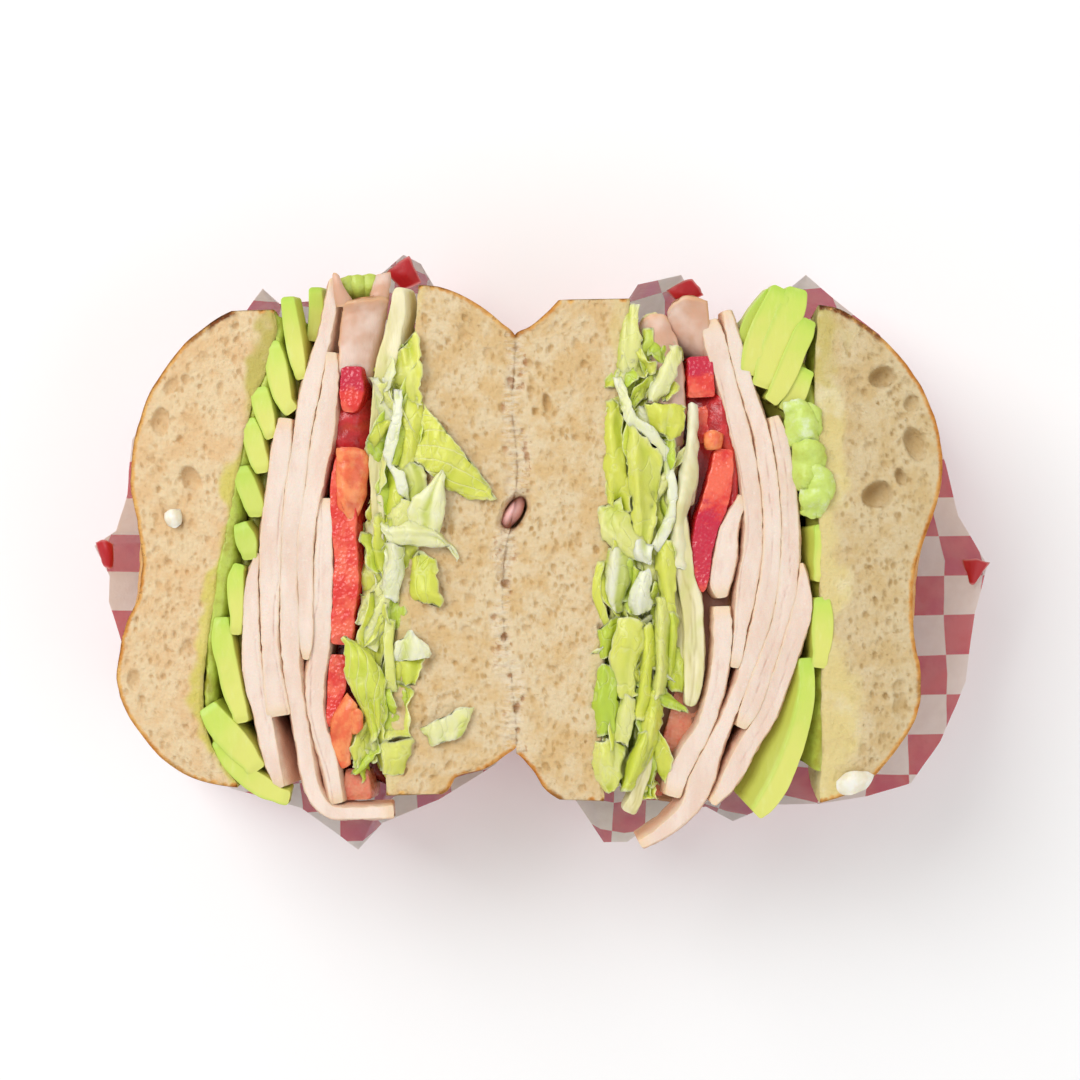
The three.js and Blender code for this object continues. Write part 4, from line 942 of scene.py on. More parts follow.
def turkeyFinish():
    n = Nodes("turkeyBreast")
    long = n.stretch((1, 0.3, 1))
    color = n.mix(n.patches((6, 3, 0.55, long), 0.36, 0.66), "EDDACB", "E6CCBA")
    color = n.over(color, n.patches((1.8, 4, 0.65, long), 0.5, 0.75), "DDBBAA", 0.45)
    color = n.over(color, n.patches((1.1, 2, 0.5), 0.62, 0.75), "F3E6DC", 0.35)
    fromMiddle = n.math("ABSOLUTE", n.math("SUBTRACT", n.value("across"), 0.5))
    color = n.over(color, n.ramp(fromMiddle, 0.34, 0.5), "EBC8A2", 0.5)
    color = n.over(color, n.value("endShare"), "EBCB9F", 0.6)
    color = n.over(color, n.value("line"), "B98672", n.patches((5, 3, 0.6), 0.4, 0.6, 0.1, 0.55))
    depth = n.value("depth")
    # darker pink-brown down the sides and deeper between the slices: painted shade
    color = n.over(color, n.ramp(depth, 0.01, 0.1, 0, 0.75), "C78E72")
    color = n.over(color, n.ramp(depth, 0.08, 0.6, 0, 0.7), "96584A")
    fine = n.bump(n.plus(n.noise(0.6, 4, 0.7), n.noise(2.2, 2, 0.5, long)), 0.2, 0.8)
    return n.finish(color, 0.52, fine, glow=0.2, radius=(2.4, 1.0, 0.6), shine=0.35)


def avocadoFinish():
    n = Nodes("avocadoFlesh")
    depth, run = n.value("depth"), n.value("run")
    along = n.plus(run, n.times(n.noise(4, 2, 0.5), 0.5))
    color = n.mix(n.ramp(along, 0.2, 0.95), "C3DA58", "D9DA70")
    color = n.over(color, n.ramp(n.value("across"), 0.0, 0.22, 1, 0), "B2D050", 0.55)
    color = n.over(color, n.ramp(run, 0.0, 0.14, 1, 0), "ACCF4C", 0.6)
    color = n.over(color, n.patches((1.4, 4, 0.6, n.stretch((1, 0.3, 1))), 0.5, 0.8), "E2E79A", 0.35)
    color = n.over(color, n.ramp(n.value("tone"), 0.55, 1.0, 0, 0.45), "A6C944")
    # painted shade: olive on the sides, darker olive deeper down
    color = n.over(color, n.math("ABSOLUTE", n.value("side")), "BCC24E", 0.85)
    color = n.over(color, n.ramp(depth, 0.1, 0.45, 0, 0.8), "8F9636")
    fine = n.bump(n.noise(1.1, 3, 0.6, n.stretch((1, 0.4, 1))), 0.14, 0.6)
    return n.finish(color, 0.42, fine, glow=0.12, radius=(1.2, 1.4, 0.4), shine=0.4)


def tomatoFinish():
    n = Nodes("tomatoFlesh")
    color = n.mix(n.patches((5.2, 3, 0.55), 0.4, 0.6), "E03A32", "F06A50")
    blush = n.ragged(n.value("blush"), (2.4, 4, 0.7), 1.1)
    color = n.over(color, n.ramp(blush, 0.4, 0.75, 0, 0.9), "C4163E")
    # painted shade: deeper red on the sides here, and dark red down in the depth two lines below
    color = n.over(color, n.math("ABSOLUTE", n.value("side")), "C21614", 0.9)
    color = n.over(color, n.value("pale"), "D9926E", n.patches((2.8, 3, 0.6), 0.3, 0.6, 0.6, 1.0))
    color = n.over(color, n.ramp(n.value("depth"), 0.12, 0.5, 0, 0.8), "86100E")
    fine = n.bump(n.plus(n.noise(1.2, 3, 0.6), n.cells(0.9)), 0.28, 0.7)
    return n.finish(color, 0.24, fine, glow=0.15, radius=(2.2, 0.5, 0.25), shine=0.55)


def ribFinish():
    n = Nodes("lettuceRib")
    depth = n.value("depth")
    long = n.stretch((1, 0.15, 1))
    color = n.mix(n.patches((3.5, 3, 0.6, long), 0.38, 0.64), "E9E0B8", "D8CE92")
    color = n.over(color, n.patches((6, 2, 0.5), 0.5, 0.7), "CDCF7C", 0.5)
    color = n.over(color, n.value("line"), "B7A765", 0.5)
    # browner down the sides and darker deeper down: painted shade
    color = n.over(color, n.ramp(depth, 0.03, 0.25, 0, 0.6), "C2AE78")
    color = n.over(color, n.ramp(depth, 0.25, 0.9, 0, 0.7), "85733E")
    fine = n.bump(n.noise(0.9, 3, 0.6, long), 0.25, 0.7)
    return n.finish(color, 0.36, fine, glow=0.25, radius=(2.0, 1.8, 0.8), shine=0.45)


def makeSlices(kind, slices, look, finish, slot, seed):
    for k, (name, spec) in enumerate(slices.items()):
        half, _, rest = name.partition("_")
        slope = leftAvocadoSlope if (kind, half) == ("avocado", "left") else usualSlope
        options = {key: value for key, value in spec.items() if key not in ("path", "slope", "blush", "pale")}
        shell = newShell()
        sliceShell(shell, spec["path"], seed + 31 * k, look, slope=spec.get("slope", slope), **options)
        if kind == "tomato":
            runs, blush = shell["values"]["run"], spec.get("blush", (0.2, 0.2))
            shell["values"]["pale"] = [0 * run + spec.get("pale", 0) for run in runs]
            shell["values"]["blush"] = [np.interp(run, np.linspace(0, 1, len(blush)), blush) for run in runs]
        piece = kind + half.capitalize() + rest.capitalize().replace("_", "")
        shellObject(shell, piece, finish, slot, [f"{kind}_{name}"])


makeSlices("turkey", turkeySlices, turkeyLook, turkeyFinish(), "turkey", 500)
makeSlices("avocado", avocadoSlices, avocadoLook, avocadoFinish(), "avocado", 900)
makeSlices("tomato", tomatoPieces, tomatoLook, tomatoFinish(), "tomato", 1400)
makeSlices("rib", ribPieces, ribLook, ribFinish(), "lettuce_rib", 1800)
print("slices done")


camera = {
    "above": 500.0,             # over the cut
    "scale": 0.22,              # millimetres for a pixel of the frame, at the level of the cut
    "middle": 540,              # the frame's middle pixel, across and down
    "place": (-0.33, 2.86),     # where the camera stands over the table
}


def seenAt(px, py, z):
    # the place at height z that the camera sees at a pixel of the 1080 frame
    scale = camera["scale"] * (cutHeight + camera["above"] - z) / camera["above"]
    across, up = (px - camera["middle"]) * scale, (camera["middle"] - py) * scale
    return across + camera["place"][0], up + camera["place"][1], z


def seenRows(rows):
    return [[seenAt(*point) for point in row] for row in rows]


def smoothRows(table, count):
    t = np.linspace(0, len(table) - 1, count)
    i = np.minimum(t.astype(int), len(table) - 2)
    f = (t - i)[:, None, None]
    longer = np.concatenate([2 * table[:1] - table[1:2], table, 2 * table[-1:] - table[-2:-1]])
    a, b, c, d = longer[i], longer[i + 1], longer[i + 2], longer[i + 3]
    square, cube = (2 * a - 5 * b + 4 * c - d) * f ** 2, (3 * b - a - 3 * c + d) * f ** 3
    return 0.5 * (2 * b + (c - a) * f + square + cube)


def formGrid(rows, step):
    # a smooth grid through rows of points
    table = np.array(rows, float)
    length = np.linalg.norm(np.diff(table, axis=0), axis=-1).sum(0).max()
    width = np.linalg.norm(np.diff(table, axis=1), axis=-1).sum(1).max()
    table = smoothRows(table, max(6, int(length / step)))
    return smoothRows(table.swapaxes(0, 1), max(6, int(width / step))).swapaxes(0, 1)


def thinSheet(shell, middle, thick, **values):
    # a closed thin body from a grid of points: both faces, joined along every side
    normal = np.cross(np.gradient(middle, axis=0), np.gradient(middle, axis=1))
    turned = normal[..., 2].mean() > 0
    normal /= np.linalg.norm(normal, axis=-1)[..., None] + 1e-9
    if normal[..., 2].mean() < 0:
        normal = -normal
    taper = np.ones(middle.shape[:2])
    taper[:, 0] = taper[:, -1] = taper[0] = taper[-1] = 0.35
    offset = normal * (thick / 2 * taper)[..., None]
    ring = np.concatenate([middle + offset, (middle - offset)[:, ::-1]], 1)
    both = {}
    for name, value in values.items():
        value = np.broadcast_to(value, middle.shape[:2])
        both[name] = np.concatenate([value, value[:, ::-1]], 1)
    addGrid(shell, ring, wrap=True, caps=True, flip=not turned, **both)


def addForm(shell, rows, seed, thick=0.4, crumple=0.35, size=3.0, ragged=0.35, pleats=0.0, crease=0.0,
            frill=0.0, step=0.5, flowing=0.4, upright=0, **values):
    # a folded sheet through rows of points, with small folds, sharp creases, pleats along it and an uneven
    # rim; upright is 1 or -1 for a sheet that stands, whose folds go outward
    middle = formGrid(rows, step)
    nu, nv = middle.shape[:2]
    u, v = np.linspace(0, 1, nu)[:, None], np.linspace(0, 1, nv)[None]
    place = middle + np.array([0, 0, seed * 3.7])
    rim = np.maximum(np.abs(u * 2 - 1) ** 4, np.abs(v * 2 - 1) ** 4)
    width = np.linalg.norm(middle[nu // 2, -1] - middle[nu // 2, 0])
    length = np.linalg.norm(middle[-1, nv // 2] - middle[0, nv // 2])
    # folds run along the sheet, so the noise is stretched that way
    flow = np.stack([v * width + 0 * u, u * length * flowing + 0 * v, seed * 3.7 + 0 * u * v], -1)
    ridge = lambda share, key: 0.45 - 2 * np.abs(softNoise(flow, size * share, seed + key))
    waves = np.sin(v * width / 2.4 * math.pi + 2.2 * softNoise(place, 9, seed + 3))
    lift = crumple * (roughNoise(flow, size, seed, 3) + 0.35 * softNoise(place, size, seed + 1)) * 1.4
    lift = lift + crease * ridge(1.3, 2) + crease * 0.35 * ridge(0.6, 4)
    lift = lift + pleats * waves * np.sin(np.clip(v * math.pi, 0.3, 2.84))
    lift = lift + frill * rim * softNoise(place, 1.5, seed + 8)
    fray = lambda key: softNoise(place, 2.6, seed + key) + 0.6 * softNoise(place, 1.1, seed + key + 1)
    pushX, pushY = [ragged * rim * fray(key) for key in (5, 6)]
    lying = 1 - abs(upright)
    shiftY, shiftZ = pushY * lying + lift * upright, lift * lying + pushY * abs(upright)
    middle = middle + np.stack([pushX, shiftY, shiftZ], -1)
    # depth below the cut, which the finishes darken as painted shade; the valleys of the folds are painted
    # darker too
    values.setdefault("depth", np.clip((cutHeight + 1 - middle[..., 2]) / 8, 0, 1))
    valley = np.clip(0.5 - lift / (2.0 * (crumple + pleats + crease) + 1e-6), 0, 1)
    thinSheet(shell, middle, thick, rim=rim, fold=valley, vein=v, along=u, **values)


# Leaves of each half, in rows of px, py and height from one end of the leaf to the other, then its tone
# (0 green, 0.35 yellow-green, 0.65 pale yellow, 1 nearly white), folds and pleats.
leavesLeft = [
    ([[(386, 360, 57.5), (402, 349, 58.5), (415, 329, 59.5)],
      [(382, 372, 57), (404, 366, 59), (421, 352, 60)], [(382, 382, 56), (403, 382, 58.6), (422, 378, 60)],
      [(392, 392, 55), (406, 400, 57.5), (422, 405, 59)]], 0.45, 0.3, 0.25),
    ([[(394, 389, 59), (402, 389, 59.4)], [(392, 415, 59.4), (401, 415, 60)],
      [(387, 440, 59.4), (397, 441, 60)], [(383, 455, 59), (392, 462, 59.6)],
      [(388, 468, 59), (398, 470, 59.6)], [(394, 480, 59.4), (405, 474, 59.8)],
      [(399, 495, 59.4), (409, 502, 59.4)]], 0.98, 0.25, 0),
    ([[(402, 409, 58), (412, 407, 56.6), (422, 410, 59)],
      [(403, 425, 58.5), (412, 424, 56), (424, 424, 59.2)],
      [(404, 440, 58), (413, 441, 56.4), (422, 438, 58.6)],
      [(404, 458, 57), (410, 458, 57), (416, 452, 58)]], 0.16, 0.5, 0.3),
    ([[(453, 548, 58.8), (456, 555, 59), (459, 563, 58.8)],
      [(430, 526, 60), (437, 536, 60.6), (445, 549, 59.8)],
      [(408, 522, 60.2), (412, 533, 60.8), (418, 546, 59.8)],
      [(390, 524, 59.4), (392, 532, 59.8), (394, 542, 59.2)],
      [(377, 519, 58.8), (378, 521, 59), (379, 524, 58.8)]], 0.82, 0.3, 0.2),
    ([[(385, 545, 59), (395, 543, 60), (404, 545, 59.5)],
      [(386, 562, 59), (395, 562, 60.6), (405, 560, 59.6)],
      [(382, 578, 58.8), (391, 580, 60.4), (402, 582, 59)],
      [(381, 592, 58), (387, 596, 59.5), (394, 602, 58.5)]], 0.9, 0.25, 0.15),
    ([[(412, 556, 58.5), (421, 553, 59.6), (435, 560, 59.8)],
      [(409, 575, 57), (421, 573, 60), (437, 580, 60)], [(409, 594, 57), (423, 592, 60), (439, 596, 59.8)],
      [(412, 600, 57.5), (426, 604, 59.4), (441, 608, 59)]], 0.3, 0.25, 0.25),
    ([[(380, 603, 57.4), (392, 600, 57.6), (404, 604, 58)],
      [(381, 615, 57), (392, 612, 58), (406, 616, 58)],
      [(384, 628, 57), (394, 628, 57.4), (406, 630, 57.8)]], 0.12, 0.6, 0.3),
    ([[(386, 590, 58), (393, 597, 58.5)], [(375, 608, 58.5), (388, 612, 58.8)],
      [(365, 625, 58.6), (384, 630, 59)], [(359, 642, 58.4), (377, 652, 58.6)]], 0.7, 0.2, 0.15),
    ([[(386, 618, 59), (396, 619, 59)], [(384, 645, 59.6), (394, 645, 59.6)],
      [(385, 670, 59.6), (395, 668, 59.4)], [(386, 692, 58.6), (396, 692, 58.6)]], 0.55, 0.3, 0.1),
    ([[(398, 640, 59), (410, 629, 60), (420, 640, 60)], [(393, 652, 59), (410, 645, 60.6), (429, 649, 60)],
      [(392, 660, 58.6), (408, 660, 60), (428, 659, 59.6)]], 0.9, 0.3, 0.2),
    ([[(394, 657, 58), (410, 660, 59), (424, 658, 59)], [(398, 668, 57), (410, 672, 59.4), (421, 672, 59)],
      [(401, 684, 57), (410, 685, 58.8), (416, 684, 58.5)]], 0.25, 0.5, 0.3),
    ([[(384, 690, 58.6), (392, 684, 60), (404, 683, 60), (412, 688, 59.2)], [(379, 705, 59.2),
      (389, 702, 56.6), (400, 700, 56), (410, 703, 59.6)], [(379, 725, 59.2), (389, 722, 56),
      (400, 722, 56), (409, 722, 59.6)], [(383, 742, 59), (392, 739, 59.8), (402, 739, 59.8),
      (410, 740, 59.2)]], 0.5, 0.25, 0),
    ([[(381, 742, 58), (395, 742, 59.5), (410, 740, 59)],
      [(383, 758, 58), (394, 758, 59.8), (412, 756, 59.4)],
      [(386, 774, 57.5), (394, 777, 58.5), (405, 774, 58.5)]], 0.5, 0.4, 0.3),
    ([[(392, 500, 58), (402, 498, 59.4), (412, 502, 59)],
      [(388, 515, 58), (398, 514, 59.6), (410, 520, 59)],
      [(386, 532, 58), (396, 531, 59), (404, 534, 58.6)]], 0.6, 0.4, 0.2),
    ([[(372, 560, 55), (380, 556, 57), (388, 560, 57.4)], [(370, 600, 54), (377, 600, 56), (384, 602, 57)]],
      0.4, 0.4, 0.2),
    ([[(385, 690, 57.2), (397, 688, 57.8), (409, 692, 57.2)],
      [(383, 714, 57.2), (397, 714, 58), (410, 716, 57.2)],
      [(385, 738, 57.2), (397, 740, 58), (409, 738, 57.2)]], 0.12, 0.35, 0.2),
    ([[(388, 655, 57.4), (398, 652, 58.4), (410, 656, 57.6)],
      [(388, 672, 57.4), (398, 672, 58.6), (411, 674, 57.6)],
      [(390, 690, 57.2), (398, 690, 58), (408, 690, 57.4)]], 0.3, 0.35, 0.2),
    ([[(398, 384, 57.4), (408, 380, 58.6), (420, 384, 58)],
      [(396, 405, 57.4), (409, 404, 59), (425, 408, 58)],
      [(396, 428, 57.4), (410, 428, 59.2), (426, 430, 58)],
      [(396, 450, 57.4), (408, 452, 59), (420, 450, 58)],
      [(398, 470, 57), (406, 472, 58.4), (414, 470, 57.6)]], 0.38, 0.4, 0.2),
    ([[(400, 468, 58.4), (412, 462, 59.6), (424, 468, 59)],
      [(404, 488, 58.4), (416, 484, 60), (428, 490, 59.2)],
      [(404, 508, 58.4), (415, 506, 59.8), (426, 510, 59)]], 0.8, 0.35, 0.2),
    ([[(388, 470, 57.6), (396, 466, 58.8), (404, 470, 58.4)],
      [(384, 500, 57.6), (393, 500, 59), (402, 502, 58.6)],
      [(382, 530, 57.6), (390, 530, 58.8), (398, 532, 58.4)]], 0.2, 0.4, 0.2),
]
leavesRight = [
    ([[(621, 311, 57), (629, 304, 57.8), (638, 307, 57)],
      [(615, 334, 57.8), (627, 330, 58.8), (641, 338, 58)],
      [(614, 358, 58), (626, 358, 59), (640, 358, 58)], [(616, 380, 58), (624, 384, 58.8), (633, 378, 58)]],
      0.62, 0.3, 0.2),
    ([[(612, 376, 59), (620, 376, 59.4)], [(621, 400, 59.6), (630, 398, 60)],
      [(626, 422, 60), (637, 416, 60.4)], [(646, 438, 60), (655, 430, 60.2)],
      [(663, 462, 59.4), (672, 454, 59.4)]], 0.88, 0.2, 0),
    ([[(623, 430, 59.4), (630, 422, 60.2), (645, 438, 60.4), (664, 456, 59.6)], [(625, 455, 59),
      (636, 452, 61), (650, 462, 60.4), (662, 478, 59.6)], [(631, 495, 59), (638, 490, 60.8),
      (648, 496, 59.8), (658, 505, 59.4)], [(632, 522, 59), (640, 520, 60.4), (648, 525, 59.6),
      (655, 530, 59)], [(628, 545, 58.8), (636, 548, 60), (644, 552, 59.4), (650, 557, 59)]], 0.45, 0.3,
      0.3),
    ([[(606, 400, 57.5), (614, 396, 59), (622, 402, 58.5)],
      [(605, 430, 57.5), (615, 428, 59.4), (625, 436, 58.5)],
      [(604, 455, 57), (614, 455, 59.6), (626, 460, 58.6)],
      [(604, 480, 57.5), (614, 482, 59.2), (630, 488, 58.6)],
      [(604, 510, 57.5), (614, 512, 59), (632, 514, 58.4)]], 0.32, 0.45, 0.35),
    ([[(598, 512, 58), (607, 504, 59.6), (621, 499, 59.4)],
      [(600, 532, 58.2), (614, 524, 60.4), (631, 519, 59.8)],
      [(612, 548, 59), (624, 542, 60.6), (640, 532, 59.8)],
      [(630, 560, 58.8), (639, 555, 60), (650, 546, 59.2)]], 0.6, 0.35, 0.3),
    ([[(663, 458, 59.6), (671, 456, 59.8)], [(667, 485, 60), (676, 484, 60.2)],
      [(667, 506, 60), (677, 508, 59.8)], [(661, 525, 59.6), (671, 531, 59.6)],
      [(650, 545, 59.4), (659, 552, 59.2)]], 0.98, 0.2, 0),
    ([[(606, 550, 58.8), (618, 546, 60), (628, 554, 59.6)],
      [(603, 575, 58.6), (617, 573, 60.6), (630, 578, 59.8)],
      [(606, 596, 58.2), (615, 598, 60), (624, 600, 59.2)],
      [(611, 607, 57.8), (616, 611, 58.8), (621, 611, 58.4)]], 0.92, 0.25, 0.15),
    ([[(596, 562, 57.8), (604, 560, 58.8)], [(592, 590, 58), (602, 588, 59)],
      [(597, 612, 57.8), (606, 609, 58.8)], [(604, 630, 57.4), (612, 624, 58.4)]], 0.3, 0.3, 0.2),
    ([[(626, 548, 60), (640, 540, 60.6), (655, 546, 60.2)],
      [(628, 555, 60), (641, 553, 61.2), (654, 555, 60.4)],
      [(636, 561, 59.2), (644, 563, 59.8), (651, 561, 59.2)]], 1.0, 0.15, 0),
    ([[(654, 545, 58.6), (664, 538, 59.8), (673, 545, 59)],
      [(655, 565, 58.4), (665, 565, 60.2), (676, 570, 59)],
      [(660, 588, 57.8), (668, 588, 59.8), (677, 592, 58.8)],
      [(664, 612, 57), (671, 614, 59), (678, 617, 58.2)]], 0.4, 0.35, 0.25),
    ([[(640, 572, 60.2), (646, 571, 60.4), (651, 580, 60)],
      [(629, 600, 59.6), (641, 594, 61.2), (652, 600, 60)],
      [(632, 614, 59.2), (641, 616, 60.2), (650, 613, 59.2)]], 0.96, 0.4, 0.15),
    ([[(630, 560, 58.4), (637, 566, 59.2), (645, 572, 58.8)],
      [(630, 580, 57.8), (634, 590, 58.8), (640, 598, 58.4)],
      [(620, 606, 57.8), (627, 612, 58.8), (634, 616, 58.2)]], 0.15, 0.45, 0.3),
    ([[(600, 630, 58), (609, 622, 59.6), (620, 618, 59.2)],
      [(599, 645, 58), (607, 640, 59.8), (617, 640, 59.2)],
      [(598, 660, 57.6), (605, 658, 59.2), (612, 653, 58.6)]], 0.08, 0.5, 0.3),
    ([[(620, 620, 59.8), (630, 616, 60.4), (641, 618, 60)],
      [(613, 640, 59.4), (628, 638, 61), (645, 640, 59.8)],
      [(611, 665, 59.2), (624, 664, 60.8), (636, 664, 59.6)],
      [(613, 688, 59), (624, 686, 60.2), (634, 685, 59.6)],
      [(618, 697, 58.6), (627, 698, 59.4), (638, 692, 59)]], 0.46, 0.25, 0.15),
    ([[(641, 628, 57.8), (648, 624, 60), (656, 626, 58.2)],
      [(640, 660, 57.8), (647, 660, 60.4), (655, 658, 58.2)],
      [(636, 690, 57.8), (643, 690, 60.2), (652, 690, 58.2)],
      [(631, 718, 57.8), (639, 720, 59.6), (648, 720, 58.2)]], 0.28, 0.3, 0.35),
    ([[(655, 598, 58.2), (661, 594, 60.2), (669, 600, 58.6)],
      [(654, 630, 58.2), (661, 632, 60.6), (671, 634, 58.6)],
      [(655, 665, 58.2), (661, 668, 60.4), (670, 668, 58.2)],
      [(650, 697, 57.8), (657, 700, 59.6), (665, 698, 57.8)]], 0.55, 0.3, 0.4),
    ([[(668, 612, 57.6), (673, 610, 59), (678, 618, 57.6)],
      [(667, 645, 57.6), (672, 645, 59), (677, 650, 57.6)],
      [(664, 680, 57), (669, 682, 58.6), (674, 686, 57)]], 0.18, 0.3, 0.2),
    ([[(650, 688, 57.8), (657, 688, 60), (665, 694, 57.8)],
      [(644, 715, 57.8), (652, 718, 60.4), (661, 720, 57.8)],
      [(639, 740, 57.8), (648, 746, 60), (656, 748, 57.8)],
      [(634, 762, 57.6), (640, 766, 59), (648, 768, 57.6)]], 0.38, 0.3, 0.35),
    ([[(598, 666, 58), (606, 662, 59.8), (617, 667, 59.2)],
      [(593, 690, 57.8), (605, 690, 60.2), (617, 692, 59.2)],
      [(592, 715, 57.6), (605, 712, 59.8), (618, 714, 59.2)],
      [(597, 737, 57.6), (606, 736, 59.4), (615, 739, 58.6)]], -0.02, 0.8, 0.35),
    ([[(622, 697, 59.2), (629, 697, 60.2), (637, 700, 59.2)],
      [(613, 720, 59), (623, 720, 60.6), (635, 722, 59.2)],
      [(611, 742, 58.6), (620, 744, 59.8), (630, 748, 58.8)]], 0.63, 0.3, 0.2),
    ([[(594, 742, 58), (606, 738, 59.8), (623, 742, 59.2)],
      [(590, 762, 57.8), (605, 760, 60.2), (623, 762, 59.2)],
      [(596, 780, 57.6), (606, 782, 59.8), (620, 784, 58.8)],
      [(604, 791, 57.6), (610, 793, 58.8), (616, 791, 58)]], 0.52, 0.35, 0.25),
    ([[(640, 734, 58.6), (646, 731, 60.2), (654, 737, 58.8)],
      [(631, 752, 58.6), (639, 752, 60.4), (648, 756, 58.8)],
      [(625, 770, 58.4), (633, 771, 60), (641, 774, 58.6)],
      [(620, 786, 58), (626, 789, 59.2), (632, 789, 58.2)]], 0.23, 0.25, 0.15),
    ([[(643, 404, 58.6), (660, 401, 60), (678, 403, 59.8), (687, 409, 59.2)], [(648, 418, 58.6),
      (663, 416, 60.8), (677, 420, 60.2), (684, 424, 59)], [(652, 434, 58.4), (664, 436, 60),
      (672, 440, 59.6), (679, 436, 58.8)]], 0.33, 0.25, 0.15),
    ([[(672, 344, 58.8), (678, 347, 59.4), (683, 354, 59.2)],
      [(664, 360, 58.8), (671, 364, 59.6), (677, 371, 59.2)],
      [(655, 378, 58.8), (662, 384, 59.6), (668, 391, 59)],
      [(647, 397, 58.6), (654, 401, 59.4), (660, 405, 58.8)]], 0.8, 0.35, 0.2),
]
heapLook = {
    # spread is half the heap's width, count its leaves and ends those that hang over its ends
    "left": {"spine": [(-31.5, 44), (-33, 20), (-34.4, -8), (-36.4, -30), (-36.4, -45)], "seed": 61,
        "spread": 3.4, "count": 60, "ends": 60},
    "right": {"spine": [(21.6, 46), (22.4, 24), (20.8, -4), (21.5, -30), (20, -50)], "seed": 83,
        "spread": 6.2, "count": 95, "ends": 100},
    "top": -6,                  # level of the rough heap under the leaves, from the cut
    "width": (3.5, 6.5), "length": (9, 20), "level": (55.2, 58.4),
    "tones": [0.05, 0.15, 0.25, 0.4, 0.6, 0.85],
    "far": 34, "shorter": 0.6,  # leaves further off than this are shorter
    "reachY": (-54, 50),        # no leaf reaches further out than this
}
endLook = {  # the leaves that hang over the heap's ends
    "below": (0, 42),           # from the heap's top
    "length": (8, 15), "width": (4, 7),
    "out": (0.4, 1.6),          # how far each stands off
    "lowest": 7.0,
}


def lettuceFinish():
    n = Nodes("shreddedLettuce")
    depth = n.value("depth")
    tone = n.ragged(n.value("tone"), (5, 3, 0.6), 0.35)
    color = n.mix(n.ramp(tone, 0.0, 0.35), "B4CE42", "D8DE58")
    color = n.over(color, n.ramp(tone, 0.35, 0.7), "E3E592")
    color = n.over(color, n.ramp(tone, 0.7, 1.0), "EBEECB")
    # the valleys of the folds painted deeper green, as shade
    color = n.over(color, n.ramp(n.value("fold"), 0.5, 0.9), "B7C628", 0.8)
    ribs = n.math("ABSOLUTE", n.math("SUBTRACT", n.noise(4.5, 2, 0.5, n.stretch((1, 0.6, 1)), 0.4), 0.5))
    color = n.over(color, n.ramp(ribs, 0.0, 0.03, 1, 0), "EEF0C6", 0.16)
    slant = n.plus(n.times(n.value("along"), 3.0), n.times(n.value("vein"), 4.0))
    veins = n.math("PINGPONG", n.plus(slant, n.times(n.noise(9, 2, 0.5), 0.7)), 0.5)
    pale = n.times(n.ramp(veins, 0.0, 0.1, 1, 0), n.value("veined"))
    color = n.over(color, pale, "F0F0B4", 0.45)
    color = n.over(color, n.ramp(n.value("rim"), 0.6, 1.0, 0, 0.4), "F0F1CE")
    # darker green down in the depth: painted shade
    color = n.over(color, n.ramp(depth, 0.22, 0.6, 0, 0.75), "C0CA34")
    color = n.over(color, n.ramp(depth, 0.55, 1.0, 0, 0.7), "9BAE30")
    fine = n.bump(n.plus(n.plus(n.ramp(ribs, 0, 0.05), pale), n.noise(1.1, 3, 0.6)), 0.16, 0.7)
    return n.finish(color, 0.34, fine, glow=0.4, radius=(1.6, 1.9, 0.4), shine=0.45)


def heapLeaf(draw, spine, spread):
    # one leaf of the heap, at a random place and turn: rows of points from its far end to its near end
    i = draw.integers(0, len(spine))
    length, width = draw.uniform(*heapLook["length"]), draw.uniform(*heapLook["width"])
    if spine[i, 1] > heapLook["far"]:
        length *= heapLook["shorter"]
    x, y = spine[i, 0] + draw.uniform(-1, 1) * spread, spine[i, 1]
    z = draw.uniform(*heapLook["level"])
    turn, roll, pitch = draw.normal(0, 0.3), draw.uniform(-1.0, 1.0), draw.uniform(-0.12, 0.12)
    bend = draw.normal(0, 1.2)
    nearest, furthest = heapLook["reachY"]
    rows = []
    for t, share in zip(np.linspace(-0.5, 0.5, 5), (0.4, 0.85, 1.0, 0.85, 0.35)):
        row = []
        for s in (-0.5, 0, 0.5):
            w = width * s * share * draw.uniform(0.75, 1.25) + bend * (4 * t * t - 0.5) * 0.5
            px = x + w * math.cos(roll) + length * t * math.sin(turn)
            py = y - length * t * math.cos(turn) + w * 0.4 * draw.uniform(-1, 1)
            pz = z + w * math.sin(roll) + length * t * pitch + draw.uniform(-0.8, 0.8)
            row.append((px, max(nearest, min(furthest, py)), pz))
        rows.append(row)
    return rows


def endLeaf(draw, spine, spread, side):
    # one leaf that hangs over the heap's far end, where side is 1, or its near end, where side is -1
    x0, y0 = spine[0 if side > 0 else -1]
    below = draw.uniform(*endLook["below"])
    x, z = x0 + draw.uniform(-1, 1) * spread, cutHeight + heapLook["top"] - below
    length, width = draw.uniform(*endLook["length"]), draw.uniform(*endLook["width"])
    turn, out = draw.normal(0, 0.7), draw.uniform(*endLook["out"])
    y0 = side * min(abs(y0), math.sqrt(fillingRadius ** 2 - (below - heapLook["top"] - 1) ** 2))
    rows = []
    for t, share in zip(np.linspace(-0.5, 0.5, 5), (0.5, 0.9, 1.0, 0.85, 0.45)):
        row = []
        for s in (-0.5, 0, 0.5):
            w = width * s * share
            px = x + w * math.cos(turn) - length * t * math.sin(turn)
            pz = z + w * math.sin(turn) + length * t * math.cos(turn)
            row.append((px, y0 + side * (out + 0.8 * draw.uniform(-1, 1)), max(endLook["lowest"], pz)))
        rows.append(row)
    return rows


